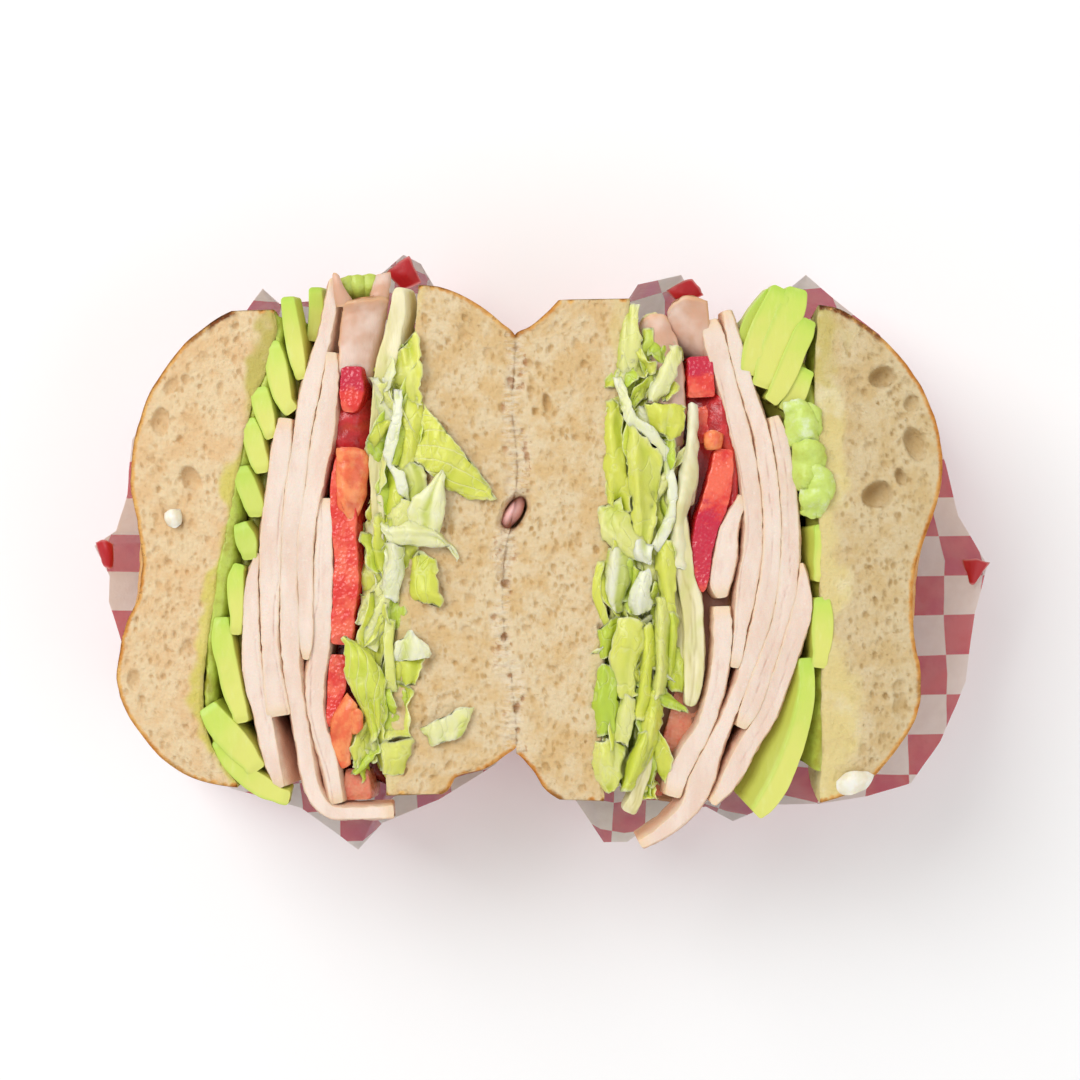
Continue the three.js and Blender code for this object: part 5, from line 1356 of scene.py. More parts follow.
def makeLettuce(half, leaves, finish):
    look = heapLook[half]
    seed, spread, tones = look["seed"], look["spread"], heapLook["tones"]
    draw = np.random.default_rng(seed)
    shell = newShell()
    spine, _ = curveThrough(look["spine"], 1.0)
    # a rough heap under the leaves fills the space down to the bread's rim; it is painted darker green all
    # over, as shade
    core = [(x, y, spread * 2.1) for x, y in look["spine"]]
    coreLook = dict(turkeyLook, sway=1.2, rough=0.9, grain=0.8, edgeWave=1.2, lines=0)
    sliceShell(shell, core, seed, coreLook, top=heapLook["top"])
    shell["values"]["depth"] = [np.full(shell["count"], 0.8)]
    shell["values"]["tone"] = [np.full(shell["count"], 0.2)]
    for k in range(look["count"]):
        rows = heapLeaf(draw, spine, spread)
        addForm(shell, rows, seed + k, thick=0.3, crumple=0.45, size=2.6, crease=0.9, frill=0.45, ragged=0.7,
                step=0.72, tone=draw.choice(tones))
    for k in range(look["ends"]):
        side = 1 if k % 2 else -1
        rows = endLeaf(draw, spine, spread, side)
        addForm(shell, rows, seed + 500 + k, thick=0.3, crumple=0.4, size=2.6, crease=0.8, frill=0.4,
                ragged=0.6, step=1.0, upright=side, tone=draw.choice(tones[:5]), depth=0.22)
    for k, (rows, tone, crumple, pleats) in enumerate(leaves):
        narrow = len(rows[0]) < 3
        addForm(shell, seenRows(rows), seed + 100 + k, thick=0.35, crumple=crumple, size=2.8,
                pleats=pleats * 0.3, crease=0.2 if narrow else 0.85, frill=0.35,
                ragged=0.35 if narrow else 0.8, step=0.45, flowing=0.3, tone=tone)
    shellObject(shell, "lettuce" + half.capitalize(), finish, "lettuce", [f"lettuce_{half}"])


# The leaves that lie over the cut, in the same kind of rows.
leafPieces = {
    "Wide": {"tone": 0.4, "crumple": 0.25, "pleats": 0.2, "veined": 1, "rows": [[(424, 404, 59.5),
        (438, 420, 60.2), (455, 440, 60.4), (474, 466, 59.8), (499, 498, 58.7)], [(423, 420, 58.6),
        (434, 436, 60.4), (448, 455, 60.8), (464, 476, 60.2), (495, 499, 58.8)], [(420, 436, 57.8),
        (430, 450, 59.8), (441, 466, 60.6), (455, 486, 60), (484, 500, 58.9)], [(402, 456, 57.6),
        (418, 462, 58.6), (433, 475, 59.4), (447, 488, 59.2), (471, 499, 58.8)]]},
    "Pale": {"tone": 0.85, "crumple": 0.3, "pleats": 0.15, "veined": 0,
        "rows": [[(441, 470, 60.4), (443, 468, 60.6), (445, 469, 60.4)],
        [(428, 485, 60.2), (436, 483, 61.2), (444, 485, 60.6)],
        [(411, 502, 59.8), (427, 506, 61.2), (445, 509, 60.4)],
        [(408, 518, 59.4), (424, 521, 60.6), (442, 525, 60)],
        [(416, 531, 59), (427, 535, 59.4), (438, 535, 59)]]},
    "Frond": {"tone": 0.22, "crumple": 0.25, "pleats": 0.25, "veined": 1,
        "rows": [[(343, 636, 59.5), (345, 635, 60), (348, 637, 59.6)],
        [(345, 655, 59.5), (357, 651, 60.8), (372, 657, 59.6)],
        [(346, 675, 59.3), (363, 670, 61), (385, 676, 59.6)],
        [(352, 694, 59), (367, 688, 60.6), (387, 692, 59.4)],
        [(363, 714, 58.8), (373, 708, 60), (388, 710, 59)],
        [(374, 744, 58.4), (378, 738, 59.2), (382, 726, 58.8)]]},
    "Scrap": {"tone": 0.82, "crumple": 0.15, "pleats": 0.2, "veined": 0, "rows": [[(421, 728, 58.9),
        (432, 722, 59.9), (446, 715, 59.8), (460, 709, 59.8), (474, 706, 59.1)], [(424, 734, 58.9),
        (436, 732, 60.3), (449, 728, 59.3), (462, 720, 60.2), (471, 718, 59.1)], [(430, 746, 58.8),
        (440, 745, 59.9), (451, 741, 59.2), (461, 738, 59.6), (466, 732, 58.9)]]},
}


def makeLeaves(finish):
    for k, (name, leaf) in enumerate(leafPieces.items()):
        shell = newShell()
        addForm(shell, seenRows(leaf["rows"]), 70 + k, thick=0.4, crumple=leaf["crumple"],
                pleats=leaf["pleats"], crease=0.5, frill=0.3, ragged=0.6, step=0.4, tone=leaf["tone"],
                veined=leaf["veined"])
        shellObject(shell, "leaf" + name, finish, "lettuce", ["leaf_left_" + name.lower()])


leafGreen = lettuceFinish()
makeLettuce("left", leavesLeft, leafGreen)
makeLettuce("right", leavesRight, leafGreen)
makeLeaves(leafGreen)
print("lettuce done")


# Turned-over slices, mash, skin and smears, in the same kind of rows as the leaves. The pieces deep in the
# gaps stand for filling further down and are painted in darker colours, as shade. The mash has a tone, from 0
# dark olive to 1 nearly white.
softForms = {
    "turkeyLeftFold": {"finish": "turkeySide", "thick": 2.2, "crumple": 0.35, "rows": [[(344, 303, 57.6),
        (351, 299, 58.6), (362, 298, 58.8), (378, 296, 58.4), (388, 296, 57)], [(342, 320, 57),
        (353, 318, 57.4), (364, 318, 57.2), (377, 318, 56.4), (384, 318, 54.6)], [(339, 345, 56.4),
        (350, 345, 56.6), (362, 345, 56.2), (373, 345, 55), (379, 345, 53)], [(337, 372, 56),
        (348, 374, 55.6), (360, 374, 55), (370, 374, 54), (376, 372, 51)], [(340, 402, 49), (350, 402, 50),
        (360, 402, 50), (370, 402, 49), (375, 400, 46)]]},
    "turkeyLeftTip": {"finish": "turkeySide", "thick": 0.9, "crumple": 0.12,
        "rows": [[(333, 273, 58.4), (335, 273, 58.8), (337, 275, 58.4)],
        [(333, 285, 58.6), (338, 284, 59.2), (343, 287, 58.4)],
        [(334, 296, 58.4), (342, 295, 59), (351, 298, 58)],
        [(337, 307, 58), (346, 305, 58.6), (357, 305, 57.4)]]},
    "turkeyLeftBack": {"finish": "turkeySide", "thick": 1.4, "crumple": 0.12,
        "rows": [[(376, 277, 55), (384, 274, 55.4), (391, 272, 55)],
        [(373, 286, 56), (382, 285, 56.6), (390, 284, 55.6)],
        [(371, 298, 57), (380, 297, 57.6), (389, 297, 56.6)],
        [(372, 310, 55), (380, 310, 55), (387, 310, 54)]]},
    "turkeyRightCurl": {"finish": "turkeySide", "thick": 2.0, "crumple": 0.25, "rows": [[(669, 320, 55.6),
        (672, 305, 57.8), (682, 297, 59), (694, 296, 59.4), (706, 302, 58.8)], [(668, 330, 54),
        (674, 320, 56.2), (684, 314, 57.4), (697, 314, 58), (709, 320, 57.6)], [(672, 345, 52),
        (680, 341, 54), (690, 338, 55.4), (700, 340, 56.4), (713, 344, 56)], [(682, 362, 48),
        (690, 362, 50), (699, 362, 52), (708, 362, 54), (717, 366, 54)]]},
    "avocadoLeftBack": {"finish": "avocadoMash", "thick": 3.5, "crumple": 0.2, "tone": 0.6,
        "replaces": ["avocado_left_back"], "rows": [[(343, 283, 53), (347, 276, 54.6), (351, 279, 53.2),
        (357, 275, 55), (364, 279, 53.2), (370, 275, 54.6), (376, 279, 53)], [(344, 291, 53.4),
        (348, 289, 54.8), (352, 291, 53.2), (358, 289, 55), (364, 291, 53.2), (370, 288, 54.6),
        (375, 290, 53)], [(345, 300, 50), (349, 299, 51), (353, 300, 50), (359, 299, 51), (364, 300, 50),
        (369, 299, 51), (374, 300, 50)]]},
    "mashLeft": {"finish": "avocadoMash", "thick": 1.6, "crumple": 0.5, "tone": 0.35,
        "rows": [[(274, 312, 56.6), (281, 318, 55.6), (287, 326, 52)],
        [(272, 350, 56.6), (280, 352, 55), (286, 354, 51)],
        [(262, 385, 56.6), (270, 388, 55), (276, 390, 51)],
        [(249, 420, 56.6), (257, 422, 55), (264, 424, 51)],
        [(240, 455, 56.6), (248, 458, 55), (256, 460, 51)],
        [(232, 490, 56.8), (241, 492, 55.4), (249, 494, 51)],
        [(224, 530, 57.2), (234, 532, 56.4), (243, 534, 52)],
        [(218, 570, 57.2), (229, 572, 56.4), (239, 574, 52)],
        [(212, 610, 57.2), (222, 612, 56), (231, 614, 52)],
        [(207, 650, 57), (215, 652, 55.6), (222, 654, 51)],
        [(206, 695, 56.8), (213, 697, 55.4), (220, 699, 51)],
        [(212, 735, 56.6), (219, 733, 55.2), (227, 731, 51)],
        [(222, 768, 56.4), (230, 765, 55), (238, 762, 51)]]},
    "mashRightTop": {"finish": "avocadoMash", "thick": 2.0, "crumple": 0.45, "crease": 1.0, "ragged": 0.7,
        "tone": 0.85, "rows": [[(783, 404, 58), (796, 400, 59.6), (808, 404, 59.2), (817, 412, 57.6)],
        [(786, 418, 57.6), (798, 416, 59.8), (810, 420, 59.4), (820, 428, 57.6)], [(788, 434, 57.4),
        (799, 433, 59.2), (809, 436, 59), (817, 442, 57.2)], [(790, 446, 56.6), (798, 446, 57.8),
        (806, 446, 57.6), (812, 446, 56.6)]]},
    "mashRightMiddle": {"finish": "avocadoMash", "thick": 2.0, "crumple": 0.35, "crease": 1.0,
        "ragged": 0.7, "tone": 0.72, "rows": [[(793, 446, 57.8), (804, 440, 59.6), (814, 441, 59.4),
        (822, 448, 58)], [(793, 460, 57.8), (805, 456, 60), (816, 458, 59.6), (825, 464, 58)],
        [(794, 476, 57.6), (804, 474, 59.8), (812, 476, 59.4), (820, 482, 58)], [(796, 488, 57),
        (803, 488, 58.4), (809, 488, 58.2), (814, 488, 57.4)]]},
    "mashRightLow": {"finish": "avocadoMash", "thick": 2.0, "crumple": 0.35, "crease": 1.0, "ragged": 0.7,
        "tone": 0.85, "rows": [[(808, 470, 58), (816, 466, 59.8), (825, 468, 59.6), (831, 476, 58)],
        [(804, 484, 57.8), (815, 482, 60), (825, 484, 59.8), (833, 490, 58)], [(800, 500, 57.6),
        (811, 498, 59.4), (821, 500, 59.4), (828, 504, 58)], [(802, 514, 57), (809, 516, 58.2),
        (816, 518, 58), (821, 517, 57.2)]]},
    "mashRightGap": {"finish": "avocadoMash", "thick": 1.8, "crumple": 0.5, "tone": 0.35,
        "rows": [[(738, 335, 51), (765, 345, 53), (798, 352, 54)],
        [(748, 372, 51), (782, 378, 54), (814, 384, 55)], [(766, 412, 51), (792, 418, 54), (820, 424, 55)],
        [(776, 450, 50), (796, 455, 53), (820, 460, 55)]]},
    "mashLeftGap": {"finish": "avocadoMash", "thick": 1.8, "crumple": 0.5, "tone": 0.3,
        "rows": [[(292, 345, 50), (303, 350, 52), (314, 345, 50)],
        [(282, 390, 51), (294, 395, 53), (303, 398, 51)], [(268, 430, 51), (276, 435, 53), (284, 436, 51)],
        [(258, 480, 51), (266, 482, 53), (273, 484, 51)], [(246, 530, 51), (254, 532, 53), (262, 532, 51)],
        [(236, 580, 51), (244, 582, 53), (252, 584, 51)], [(232, 650, 51), (242, 652, 53), (250, 652, 51)],
        [(236, 700, 50), (246, 700, 52), (256, 700, 50)]]},
    "ribRightSheet": {"finish": "ribSheet", "thick": 0.5, "crumple": 0.25, "crease": 0.5,
        "rows": [[(688, 404, 58.4), (692, 402, 59.4), (697, 406, 58.6)],
        [(687, 430, 58.4), (692, 430, 59.6), (698, 432, 58.6)],
        [(684, 455, 58.4), (690, 455, 59.8), (698, 459, 58.6)],
        [(678, 477, 58.4), (687, 477, 60), (697, 482, 58.6)],
        [(675, 497, 58.4), (683, 497, 60), (692, 501, 58.6)],
        [(672, 517, 58.4), (679, 517, 59.8), (687, 520, 58.6)],
        [(671, 545, 58.4), (678, 545, 59.6), (686, 548, 58.6)],
        [(672, 568, 58), (679, 568, 59), (687, 570, 58)]]},
    "turkeyRightBehind": {"finish": "turkeySide", "thick": 1.6, "crumple": 0.3,
        "rows": [[(641, 322, 55), (654, 314, 57), (667, 318, 56)],
        [(638, 345, 55), (656, 340, 57.2), (680, 350, 56.4)],
        [(640, 378, 55), (660, 374, 57.2), (685, 384, 56.4)],
        [(645, 412, 55), (664, 410, 57), (686, 412, 56)],
        [(655, 450, 54), (668, 450, 56), (682, 446, 55)]]},
    "mashRightDeep": {"finish": "avocadoMash", "thick": 1.8, "crumple": 0.6, "tone": 0.3,
        "rows": [[(812, 330, 52), (820, 335, 54.6), (830, 336, 57)],
        [(805, 380, 51), (815, 385, 54), (828, 388, 57)],
        [(806, 450, 51), (818, 450, 54.6), (832, 450, 57)],
        [(806, 520, 51), (818, 522, 54.6), (832, 522, 57)],
        [(808, 580, 51), (820, 582, 54.6), (834, 580, 57)],
        [(808, 650, 51), (820, 652, 54.6), (835, 650, 57)],
        [(806, 700, 51), (818, 705, 54.6), (833, 710, 57)],
        [(800, 760, 51), (812, 768, 54), (826, 774, 57)]]},
    "tomatoLeftSkin": {"finish": "tomatoSkin", "thick": 0.8, "crumple": 0.15,
        "rows": [[(347, 692, 57.4), (352, 698, 59), (357, 706, 59)],
        [(335, 712, 57.4), (346, 712, 59.4), (357, 713, 59.2)],
        [(330, 732, 57.4), (343, 733, 58.8), (353, 733, 59)],
        [(334, 752, 57), (343, 753, 58.2), (350, 750, 57.8)],
        [(341, 768, 56.4), (346, 767, 57.4), (351, 763, 57.2)]]},
    "tomatoLeftCurl": {"finish": "tomatoSkin", "thick": 0.6, "crumple": 0.06,
        "rows": [[(350, 712, 58.8), (351, 733, 58)], [(353, 709, 60.4), (354, 734, 59.2)],
        [(358, 709, 61), (359, 732, 59.8)], [(362, 713, 60.2), (362, 729, 59.2)],
        [(361, 718, 58.6), (359, 727, 58)]]},
    "tomatoLeftPulp": {"finish": "tomatoSkin", "thick": 1.8, "crumple": 0.5, "rows": [[(337, 449, 58),
        (348, 448, 58.8), (360, 449, 58.2), (368, 453, 56.4)], [(337, 466, 58), (347, 465, 59),
        (358, 467, 58.4), (368, 470, 56.4)], [(338, 486, 57.8), (345, 492, 58.6), (354, 496, 58),
        (364, 500, 56.2)], [(340, 506, 57.4), (344, 516, 58), (349, 520, 57.6), (356, 518, 56.4)]]},
    "tomatoLeftDeep": {"finish": "tomatoDeep", "thick": 2.0, "crumple": 0.5, "rows": [[(334, 398, 54),
        (350, 398, 54.6), (364, 398, 54), (382, 398, 50)], [(333, 440, 55), (350, 440, 55.2),
        (364, 440, 54), (380, 440, 50)], [(335, 520, 51), (350, 520, 51), (368, 520, 51), (382, 520, 50)],
        [(335, 600, 51), (350, 600, 51), (368, 600, 52), (384, 600, 51)], [(330, 690, 51), (348, 690, 52),
        (366, 690, 52), (384, 700, 51)], [(335, 770, 49), (352, 770, 51), (370, 775, 51), (388, 785, 49)]]},
    "tomatoLeftScraps": {"finish": "tomatoSkin", "thick": 0.9, "crumple": 0.4,
        "rows": [[(363, 560, 54.6), (369, 560, 55.6), (374, 565, 54.6)],
        [(364, 580, 54.8), (371, 580, 56), (378, 585, 55)],
        [(364, 600, 54.6), (370, 602, 55.6), (376, 602, 54.6)]]},
    "tomatoRightDeep": {"finish": "tomatoDeep", "thick": 2.0, "crumple": 0.4, "rows": [[(684, 398, 53),
        (700, 392, 53), (716, 392, 55), (724, 396, 57)], [(686, 430, 54), (700, 430, 54), (716, 430, 56),
        (730, 432, 57)], [(690, 470, 53), (706, 470, 53), (722, 470, 54.6), (736, 470, 57)],
        [(686, 530, 52), (700, 530, 52), (720, 530, 54), (736, 525, 56.6)], [(688, 580, 51), (700, 585, 52),
        (710, 590, 53), (722, 590, 54)]]},
    "tomatoRightBit": {"finish": "tomatoSkin", "thick": 2.2, "crumple": 0.5,
        "rows": [[(706, 433, 57), (713, 430, 58.4), (721, 433, 57)],
        [(706, 441, 57), (713, 441, 58.6), (721, 441, 57)],
        [(708, 449, 56.6), (713, 449, 57.6), (718, 448, 56.6)]]},
    "turkeyRightDeep": {"finish": "turkeyDeep", "thick": 2.0, "crumple": 0.3,
        "rows": [[(676, 470, 51), (700, 470, 51), (730, 470, 53)],
        [(676, 560, 51), (700, 560, 51), (734, 560, 53)], [(668, 640, 52), (690, 640, 53), (730, 640, 53)],
        [(660, 700, 53), (685, 700, 54), (725, 700, 53)], [(650, 750, 51), (675, 755, 53), (712, 760, 52)],
        [(640, 790, 47), (660, 800, 49), (700, 800, 48)]]},
    "paperPinch": {"finish": "pinkPaper", "thick": 1.0, "crumple": 0.12,
        "rows": [[(519, 498, 52), (521, 497, 53), (524, 499, 52)],
        [(512, 503, 53.6), (517, 504, 55.6), (523, 507, 54)],
        [(506, 511, 54), (512, 512, 56.4), (519, 515, 54.4)],
        [(501, 519, 53.6), (507, 520, 55.6), (513, 523, 54)],
        [(500, 528, 52), (503, 528, 53.2), (507, 530, 52)]]},
    "paperTipRight": {"finish": "brightPaper", "thick": 0.5, "crumple": 0.3,
        "rows": [[(962, 560, 29.6), (975, 559, 30.4), (989, 562, 29.6)],
        [(965, 570, 29.4), (975, 570, 30.2), (984, 570, 29.4)],
        [(969, 583, 28.8), (972, 585, 29.2), (975, 583, 28.8)]]},
    "paperTipLeft": {"finish": "brightPaper", "thick": 0.5, "crumple": 0.3,
        "rows": [[(96, 542, 29.6), (104, 540, 30.6), (113, 543, 30)],
        [(99, 553, 29.6), (107, 552, 30.8), (114, 555, 30)],
        [(104, 566, 29), (109, 568, 29.8), (113, 567, 29.2)]]},
    "paperTipTop": {"finish": "brightPaper", "thick": 0.5, "crumple": 0.3,
        "rows": [[(387, 272, 31), (396, 264, 32), (408, 256, 32)],
        [(393, 280, 31), (404, 274, 32), (416, 270, 31.6)],
        [(402, 290, 30.4), (412, 286, 31), (420, 282, 30.6)]]},
    "paperTipTopRight": {"finish": "brightPaper", "thick": 0.5, "crumple": 0.3,
        "rows": [[(667, 290, 30), (678, 284, 31), (692, 279, 30.6)],
        [(673, 298, 30), (685, 293, 31), (699, 287, 30.4)],
        [(684, 304, 29.4), (692, 300, 30.2), (703, 295, 29.6)]]},
    "mayoSpot": {"finish": "mayo", "thick": 0.8, "crumple": 0.35, "rows": [[(836, 782, 57.6),
        (848, 772, 58.8), (862, 771, 58.8), (874, 776, 57.8)], [(834, 788, 57.4), (848, 781, 59.6),
        (862, 780, 59.4), (871, 782, 58)], [(836, 794, 57), (847, 794, 58.4), (856, 792, 58.6),
        (866, 788, 57.8)]]},
    "crumbSpot": {"finish": "mayo", "thick": 1.2, "crumple": 0.5,
        "rows": [[(166, 513, 58), (172, 509, 59.2), (179, 510, 58)],
        [(165, 519, 58.2), (173, 518, 59.8), (182, 518, 58.2)],
        [(170, 526, 58), (175, 527, 59), (180, 524, 58)]]},
}
# the warm colour also serves as painted shade towards the right-hand edge, and the third colour is painted
# shade down in the depth
foldColors = {  # pale, warm, down in the depth and along the rim
    "turkeySide": ("E8CFC0", "D2A488", "A87258", "E4AE72"),
    # the next colours are a darker copy of the turkey's, as painted shade deep below the cut
    "turkeyDeep": ("C79478", "B98468", "8A4E38", "E4AE72"),
    "ribSheet": ("EDE4C4", "DCD29A", "B9A86A", "F2EAD2"),
    "brightPaper": ("E0252C", "CC1E26", "B01820", "F0A8A4"),
    "pinkPaper": ("F2BDB8", "E5A4A2", "D08A86", "E8B0AA"),
}
# the second set here is a darker copy of the tomato's red, as painted shade deep below the cut
tomatoColors = {"tomatoSkin": ("F6965C", "EC6E44"), "tomatoDeep": ("CC2C30", "AE1C20")}
formSlots = {
    "turkeySide": "turkey", "turkeyDeep": "turkey", "ribSheet": "lettuce_rib", "brightPaper": "paper",
    "pinkPaper": "paper", "tomatoSkin": "tomato", "tomatoDeep": "tomato", "avocadoMash": "avocado",
    "mayo": "bread",
}


def foldFinish(name, pale, warm, deep, edge):
    n = Nodes(name)
    color = n.mix(n.patches((9, 3, 0.5), 0.35, 0.65), pale, warm)
    # painted shade: warmer towards the right-hand edge of the sheet, and darker down in the depth
    color = n.over(color, n.ramp(n.value("vein"), 0.45, 1.0, 0, 0.5), warm)
    color = n.over(color, n.ramp(n.value("depth"), 0.25, 1.0, 0, 0.85), deep)
    color = n.over(color, n.ramp(n.value("rim"), 0.4, 1.0), edge, 0.5)
    fine = n.bump(n.noise(1.4, 4, 0.6, n.stretch((1, 0.4, 1))), 0.25, 0.7)
    return n.finish(color, 0.42, fine, glow=0.2, radius=(2.4, 1.0, 0.6), shine=0.45)


def mashFinish():
    n = Nodes("avocadoMash")
    tone = n.ragged(n.value("tone"), (4, 4, 0.65), 1.1)
    # the dark olive low tones, which the pieces in the gaps use, and the darkening down in the depth are
    # painted shade
    color = n.mix(n.ramp(tone, 0.1, 0.5), "A3A13A", "BCCB55")
    color = n.over(color, n.ramp(tone, 0.5, 0.8), "C8DC6C")
    color = n.over(color, n.ramp(tone, 0.8, 1.15), "E4EDCB")
    color = n.over(color, n.ramp(n.value("depth"), 0.4, 1.0, 0, 0.7), "8C8730")
    fine = n.bump(n.noise(1.6, 4, 0.6), 0.4, 0.7)
    return n.finish(color, 0.35, fine, glow=0.12, radius=(1.2, 1.4, 0.4), shine=0.45)


def tomatoSkinFinish(name, pale, dark):
    n = Nodes(name)
    color = n.mix(n.patches((3, 3, 0.6), 0.38, 0.62), pale, dark)
    # painted shade: deeper red in the valleys of the folds, and dark red down in the depth
    color = n.over(color, n.ramp(n.value("fold"), 0.5, 0.9, 0, 0.6), "C2401E")
    color = n.over(color, n.ramp(n.value("depth"), 0.45, 1.0, 0, 0.8), "6E120E")
    fine = n.bump(n.noise(1.2, 3, 0.6), 0.25, 0.7)
    return n.finish(color, 0.26, fine, glow=0.15, radius=(2.2, 0.6, 0.25), shine=0.55)


def mayoFinish():
    n = Nodes("mayo")
    color = n.mix(n.patches((3, 3, 0.5), 0.35, 0.65), "F3EFE3", "E9DFC4")
    return n.finish(color, 0.3, n.bump(n.noise(1.5, 3, 0.6), 0.3, 0.6), glow=0.15, shine=0.5)


def makeForms():
    finishes = {"avocadoMash": mashFinish(), "mayo": mayoFinish()}
    finishes.update({name: foldFinish(name, *colors) for name, colors in foldColors.items()})
    finishes.update({name: tomatoSkinFinish(name, *colors) for name, colors in tomatoColors.items()})
    for k, (name, form) in enumerate(softForms.items()):
        hidden = "Deep" in name or "Gap" in name
        shell = newShell()
        addForm(shell, seenRows(form["rows"]), 300 + k, thick=form["thick"], crumple=form["crumple"],
                size=3.4, ragged=form.get("ragged", 0.3), crease=form.get("crease", 0),
                step=0.9 if hidden else 0.45, flowing=0.8, tone=form.get("tone", 0))
        slot = formSlots[form["finish"]]
        shellObject(shell, name, finishes[form["finish"]], slot, form.get("replaces", ()))


makeForms()
print("forms done")


# The paper's rim all the way round, as x, y and height.
paperRim = [
    (104, -3, 28), (97.5, 8.5, 26), (95, 20.5, 24), (91, 35, 20), (80, 51.5, 20), (69, 59, 25),
    (61.5, 64.5, 29), (54, 58.5, 22), (45, 52, 19), (38.5, 55, 24), (32.5, 64.5, 29), (22.5, 62.5, 27),
    (18.5, 56.5, 22), (12, 54, 17), (3.5, 52, 13), (-6.5, 44.5, 9), (-17, 55, 14), (-25, 62, 25),
    (-28, 67, 30), (-32, 69, 31), (-37, 65.5, 27), (-50, 60, 18), (-62, 58.5, 22), (-65, 61.5, 28),
    (-72, 54, 20), (-89.5, 39.5, 18), (-97, 26.5, 20), (-97, 13.5, 26), (-99.5, 5, 26), (-104, 1.5, 29),
    (-101, -5.5, 26), (-101.5, -11.5, 25), (-99, -22, 21), (-98, -36.5, 17), (-86, -50.5, 17),
    (-73, -56, 20), (-56.5, -60, 24), (-42.5, -69, 30), (-37, -63, 28), (-24, -58, 25), (-11, -50.5, 18),
    (-6, -45, 9), (-1.5, -51.5, 14), (8, -58.5, 20), (14.5, -67.5, 29), (20, -67.5, 28), (29.5, -61, 25),
    (38.5, -59.5, 26), (44.5, -62.5, 30), (54, -59.5, 22), (66, -59.5, 20), (77, -57.5, 22),
    (86.5, -54, 26), (93, -44, 28), (99, -30, 28), (101, -14, 28),
]
paper = {
    "centre": (-6.0, 9.0),
    "rimSteps": 7,              # points between two places of the rim
    "rows": (14, 44),           # rows of points on the table and above it
    "liftFrom": 0.72,           # share of the way out at which the paper leaves the table
    "liftCurve": 1.4,
    "pinch": (0.5, 4.5, 34),    # radius of the pinch in the middle at its top and at its foot, and its height
    "creases": 0.9,             # height of the crinkles
    "checkSize": 11.2, "checkShift": (1.5, 3.0),
    "thick": 0.25, "above": 0.12,
}


def paperFinish():
    n = Nodes("checkedPaper")
    uv = n.tree.nodes.new("ShaderNodeUVMap")
    uv.uv_map = "sheet"
    split = n.tree.nodes.new("ShaderNodeSeparateXYZ")
    n.put(split.inputs[0], uv.outputs["UV"])
    across, along = [n.ramp(n.math("PINGPONG", split.outputs[k], 1.0), 0.49, 0.51) for k in (0, 1)]
    checks = n.math("ABSOLUTE", n.math("SUBTRACT", across, along))
    outside = n.value("outside")
    worn = n.patches((7, 3, 0.6), 0.35, 0.7)
    red = n.over(n.mix(worn, "C8404A", "BE343E"), outside, "E2242C")
    white = n.over(n.mix(worn, "FBF3F2", "F3E9E7"), outside, "FAF6F5")
    fine = n.bump(n.plus(n.noise(6, 2, 0.5), n.times(n.noise(1.2, 3, 0.6), 0.4)), 0.5, 0.5)
    return n.finish(n.mix(checks, white, red), 0.38, fine, glow=0.42, radius=(2, 2, 2), shine=0.35)


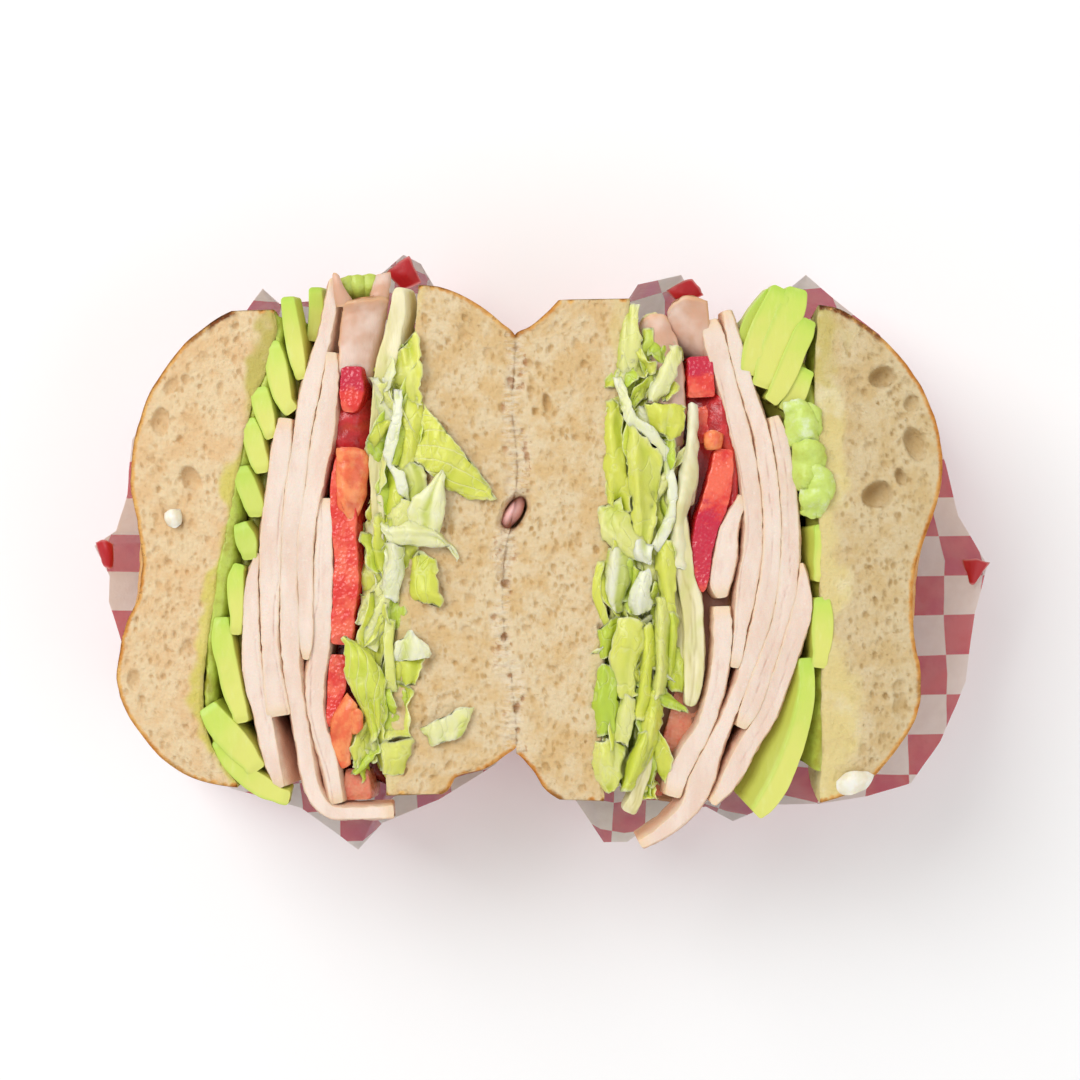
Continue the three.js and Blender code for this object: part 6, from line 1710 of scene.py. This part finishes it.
def makePaper(finish):
    centre = np.array(paper["centre"])
    rim = np.array(paperRim + paperRim[:1], float)
    count = (len(rim) - 1) * paper["rimSteps"]
    k = np.arange(count) / paper["rimSteps"]
    edge = np.stack([np.interp(k, np.arange(len(rim)), rim[:, c]) for c in range(3)], -1)
    rowsFlat, rowsLifted = paper["rows"]
    q = np.concatenate([np.linspace(0.02, 0.7, rowsFlat), np.linspace(0.72, 1, rowsLifted)])[:, None]
    out = edge[None, :, :2] - centre
    lifting = np.clip((q - paper["liftFrom"]) / (1 - paper["liftFrom"]), 0, 1) ** paper["liftCurve"]
    flat = centre + out * q[..., None]
    top, foot, height = paper["pinch"]
    z = edge[None, :, 2] * lifting + (1 - ease(np.linalg.norm(flat - centre, axis=-1), top, foot)) * height
    place = np.concatenate([flat, z[..., None] * 0.4], -1)
    ridges = 1 - np.abs(softNoise(place, 13, 5)) * 2
    fine = 1 - np.abs(softNoise(place, 5.5, 6)) * 2
    z = z + ease(q, 0.7, 0.82) * paper["creases"] * (0.8 * ridges + 0.3 * fine - 0.6)
    sheet = np.concatenate([flat, z[..., None]], -1)
    # the checks follow the sheet, so they are measured along it from the middle
    steps = np.linalg.norm(np.diff(sheet, axis=0), axis=-1)
    length = np.concatenate([np.zeros((1, count)), np.cumsum(steps, 0)], 0)
    direction = out / np.linalg.norm(out, axis=-1)[..., None]
    uv = (direction * length[..., None] + centre + np.array(paper["checkShift"])) / paper["checkSize"]
    shell = newShell()
    upper = sheet + np.array([0, 0, paper["thick"] + paper["above"]])
    lower = sheet + np.array([0, 0, paper["above"]])
    addGrid(shell, upper, wrap=True, uv=uv, outside=0.0)
    addGrid(shell, lower, wrap=True, flip=True, uv=uv, outside=1.0)
    addGrid(shell, np.stack([lower[-1], upper[-1]]), wrap=True, uv=np.stack([uv[-1], uv[-1]]), outside=0.0)
    shellObject(shell, "checkedPaper", finish, "paper", ["paper"])


makePaper(paperFinish())
print("paper done")


studio = {
    "table": {"size": 4, "color": "F7F7F7", "below": -0.0002},  # just under the paper
    "surround": 0.62,
    "lights": {  # place in metres, width and power
        "keyLight": ((-0.62, 0.5, 0.95), 0.7, 8.6),
        "fillLight": ((0.8, -0.4, 0.9), 1.0, 3.2),
    },
    "sensor": 36,
}


def addTable(look):
    bpy.ops.mesh.primitive_plane_add(size=look["size"], location=(0, 0, look["below"]))
    table = bpy.context.object
    table.name = "table"
    n = Nodes("paleTable")
    table.data.materials.append(n.finish(look["color"], 0.9, shine=0.1))


def addLight(name, place, size, power):
    # a square light that faces the middle of the table
    lamp = bpy.data.lights.new(name, "AREA")
    lamp.size = size
    lamp.energy = power
    holder = bpy.data.objects.new(name, lamp)
    holder.location = place
    x, y, z = place
    holder.rotation_euler = (math.atan2(math.hypot(x, y), z), 0, math.atan2(-x, y) + math.pi)
    bpy.context.scene.collection.objects.link(holder)


def addCamera():
    # straight above the cut, with the frame of the photo
    lens = bpy.data.cameras.new("overhead")
    lens.sensor_width = studio["sensor"]
    lens.lens = studio["sensor"] / 2 * camera["above"] / (camera["middle"] * camera["scale"])
    eye = bpy.data.objects.new("overhead", lens)
    x, y = camera["place"]
    eye.location = (x * toMetres, y * toMetres, (cutHeight + camera["above"]) * toMetres)
    bpy.context.scene.collection.objects.link(eye)
    bpy.context.scene.camera = eye


def makeStudio():
    # a pale table, one large soft light from the upper left, a weaker one and a bright surround
    addTable(studio["table"])
    scene = bpy.context.scene
    scene.world = bpy.data.worlds.new("studio")
    scene.world.use_nodes = True
    background = scene.world.node_tree.nodes["Background"]
    background.inputs["Color"].default_value = (1, 1, 1, 1)
    background.inputs["Strength"].default_value = studio["surround"]
    for name, light in studio["lights"].items():
        addLight(name, *light)
    addCamera()
    scene.view_settings.view_transform = "Standard"
    scene.view_settings.look = "None"


makeStudio()
print("studio done")
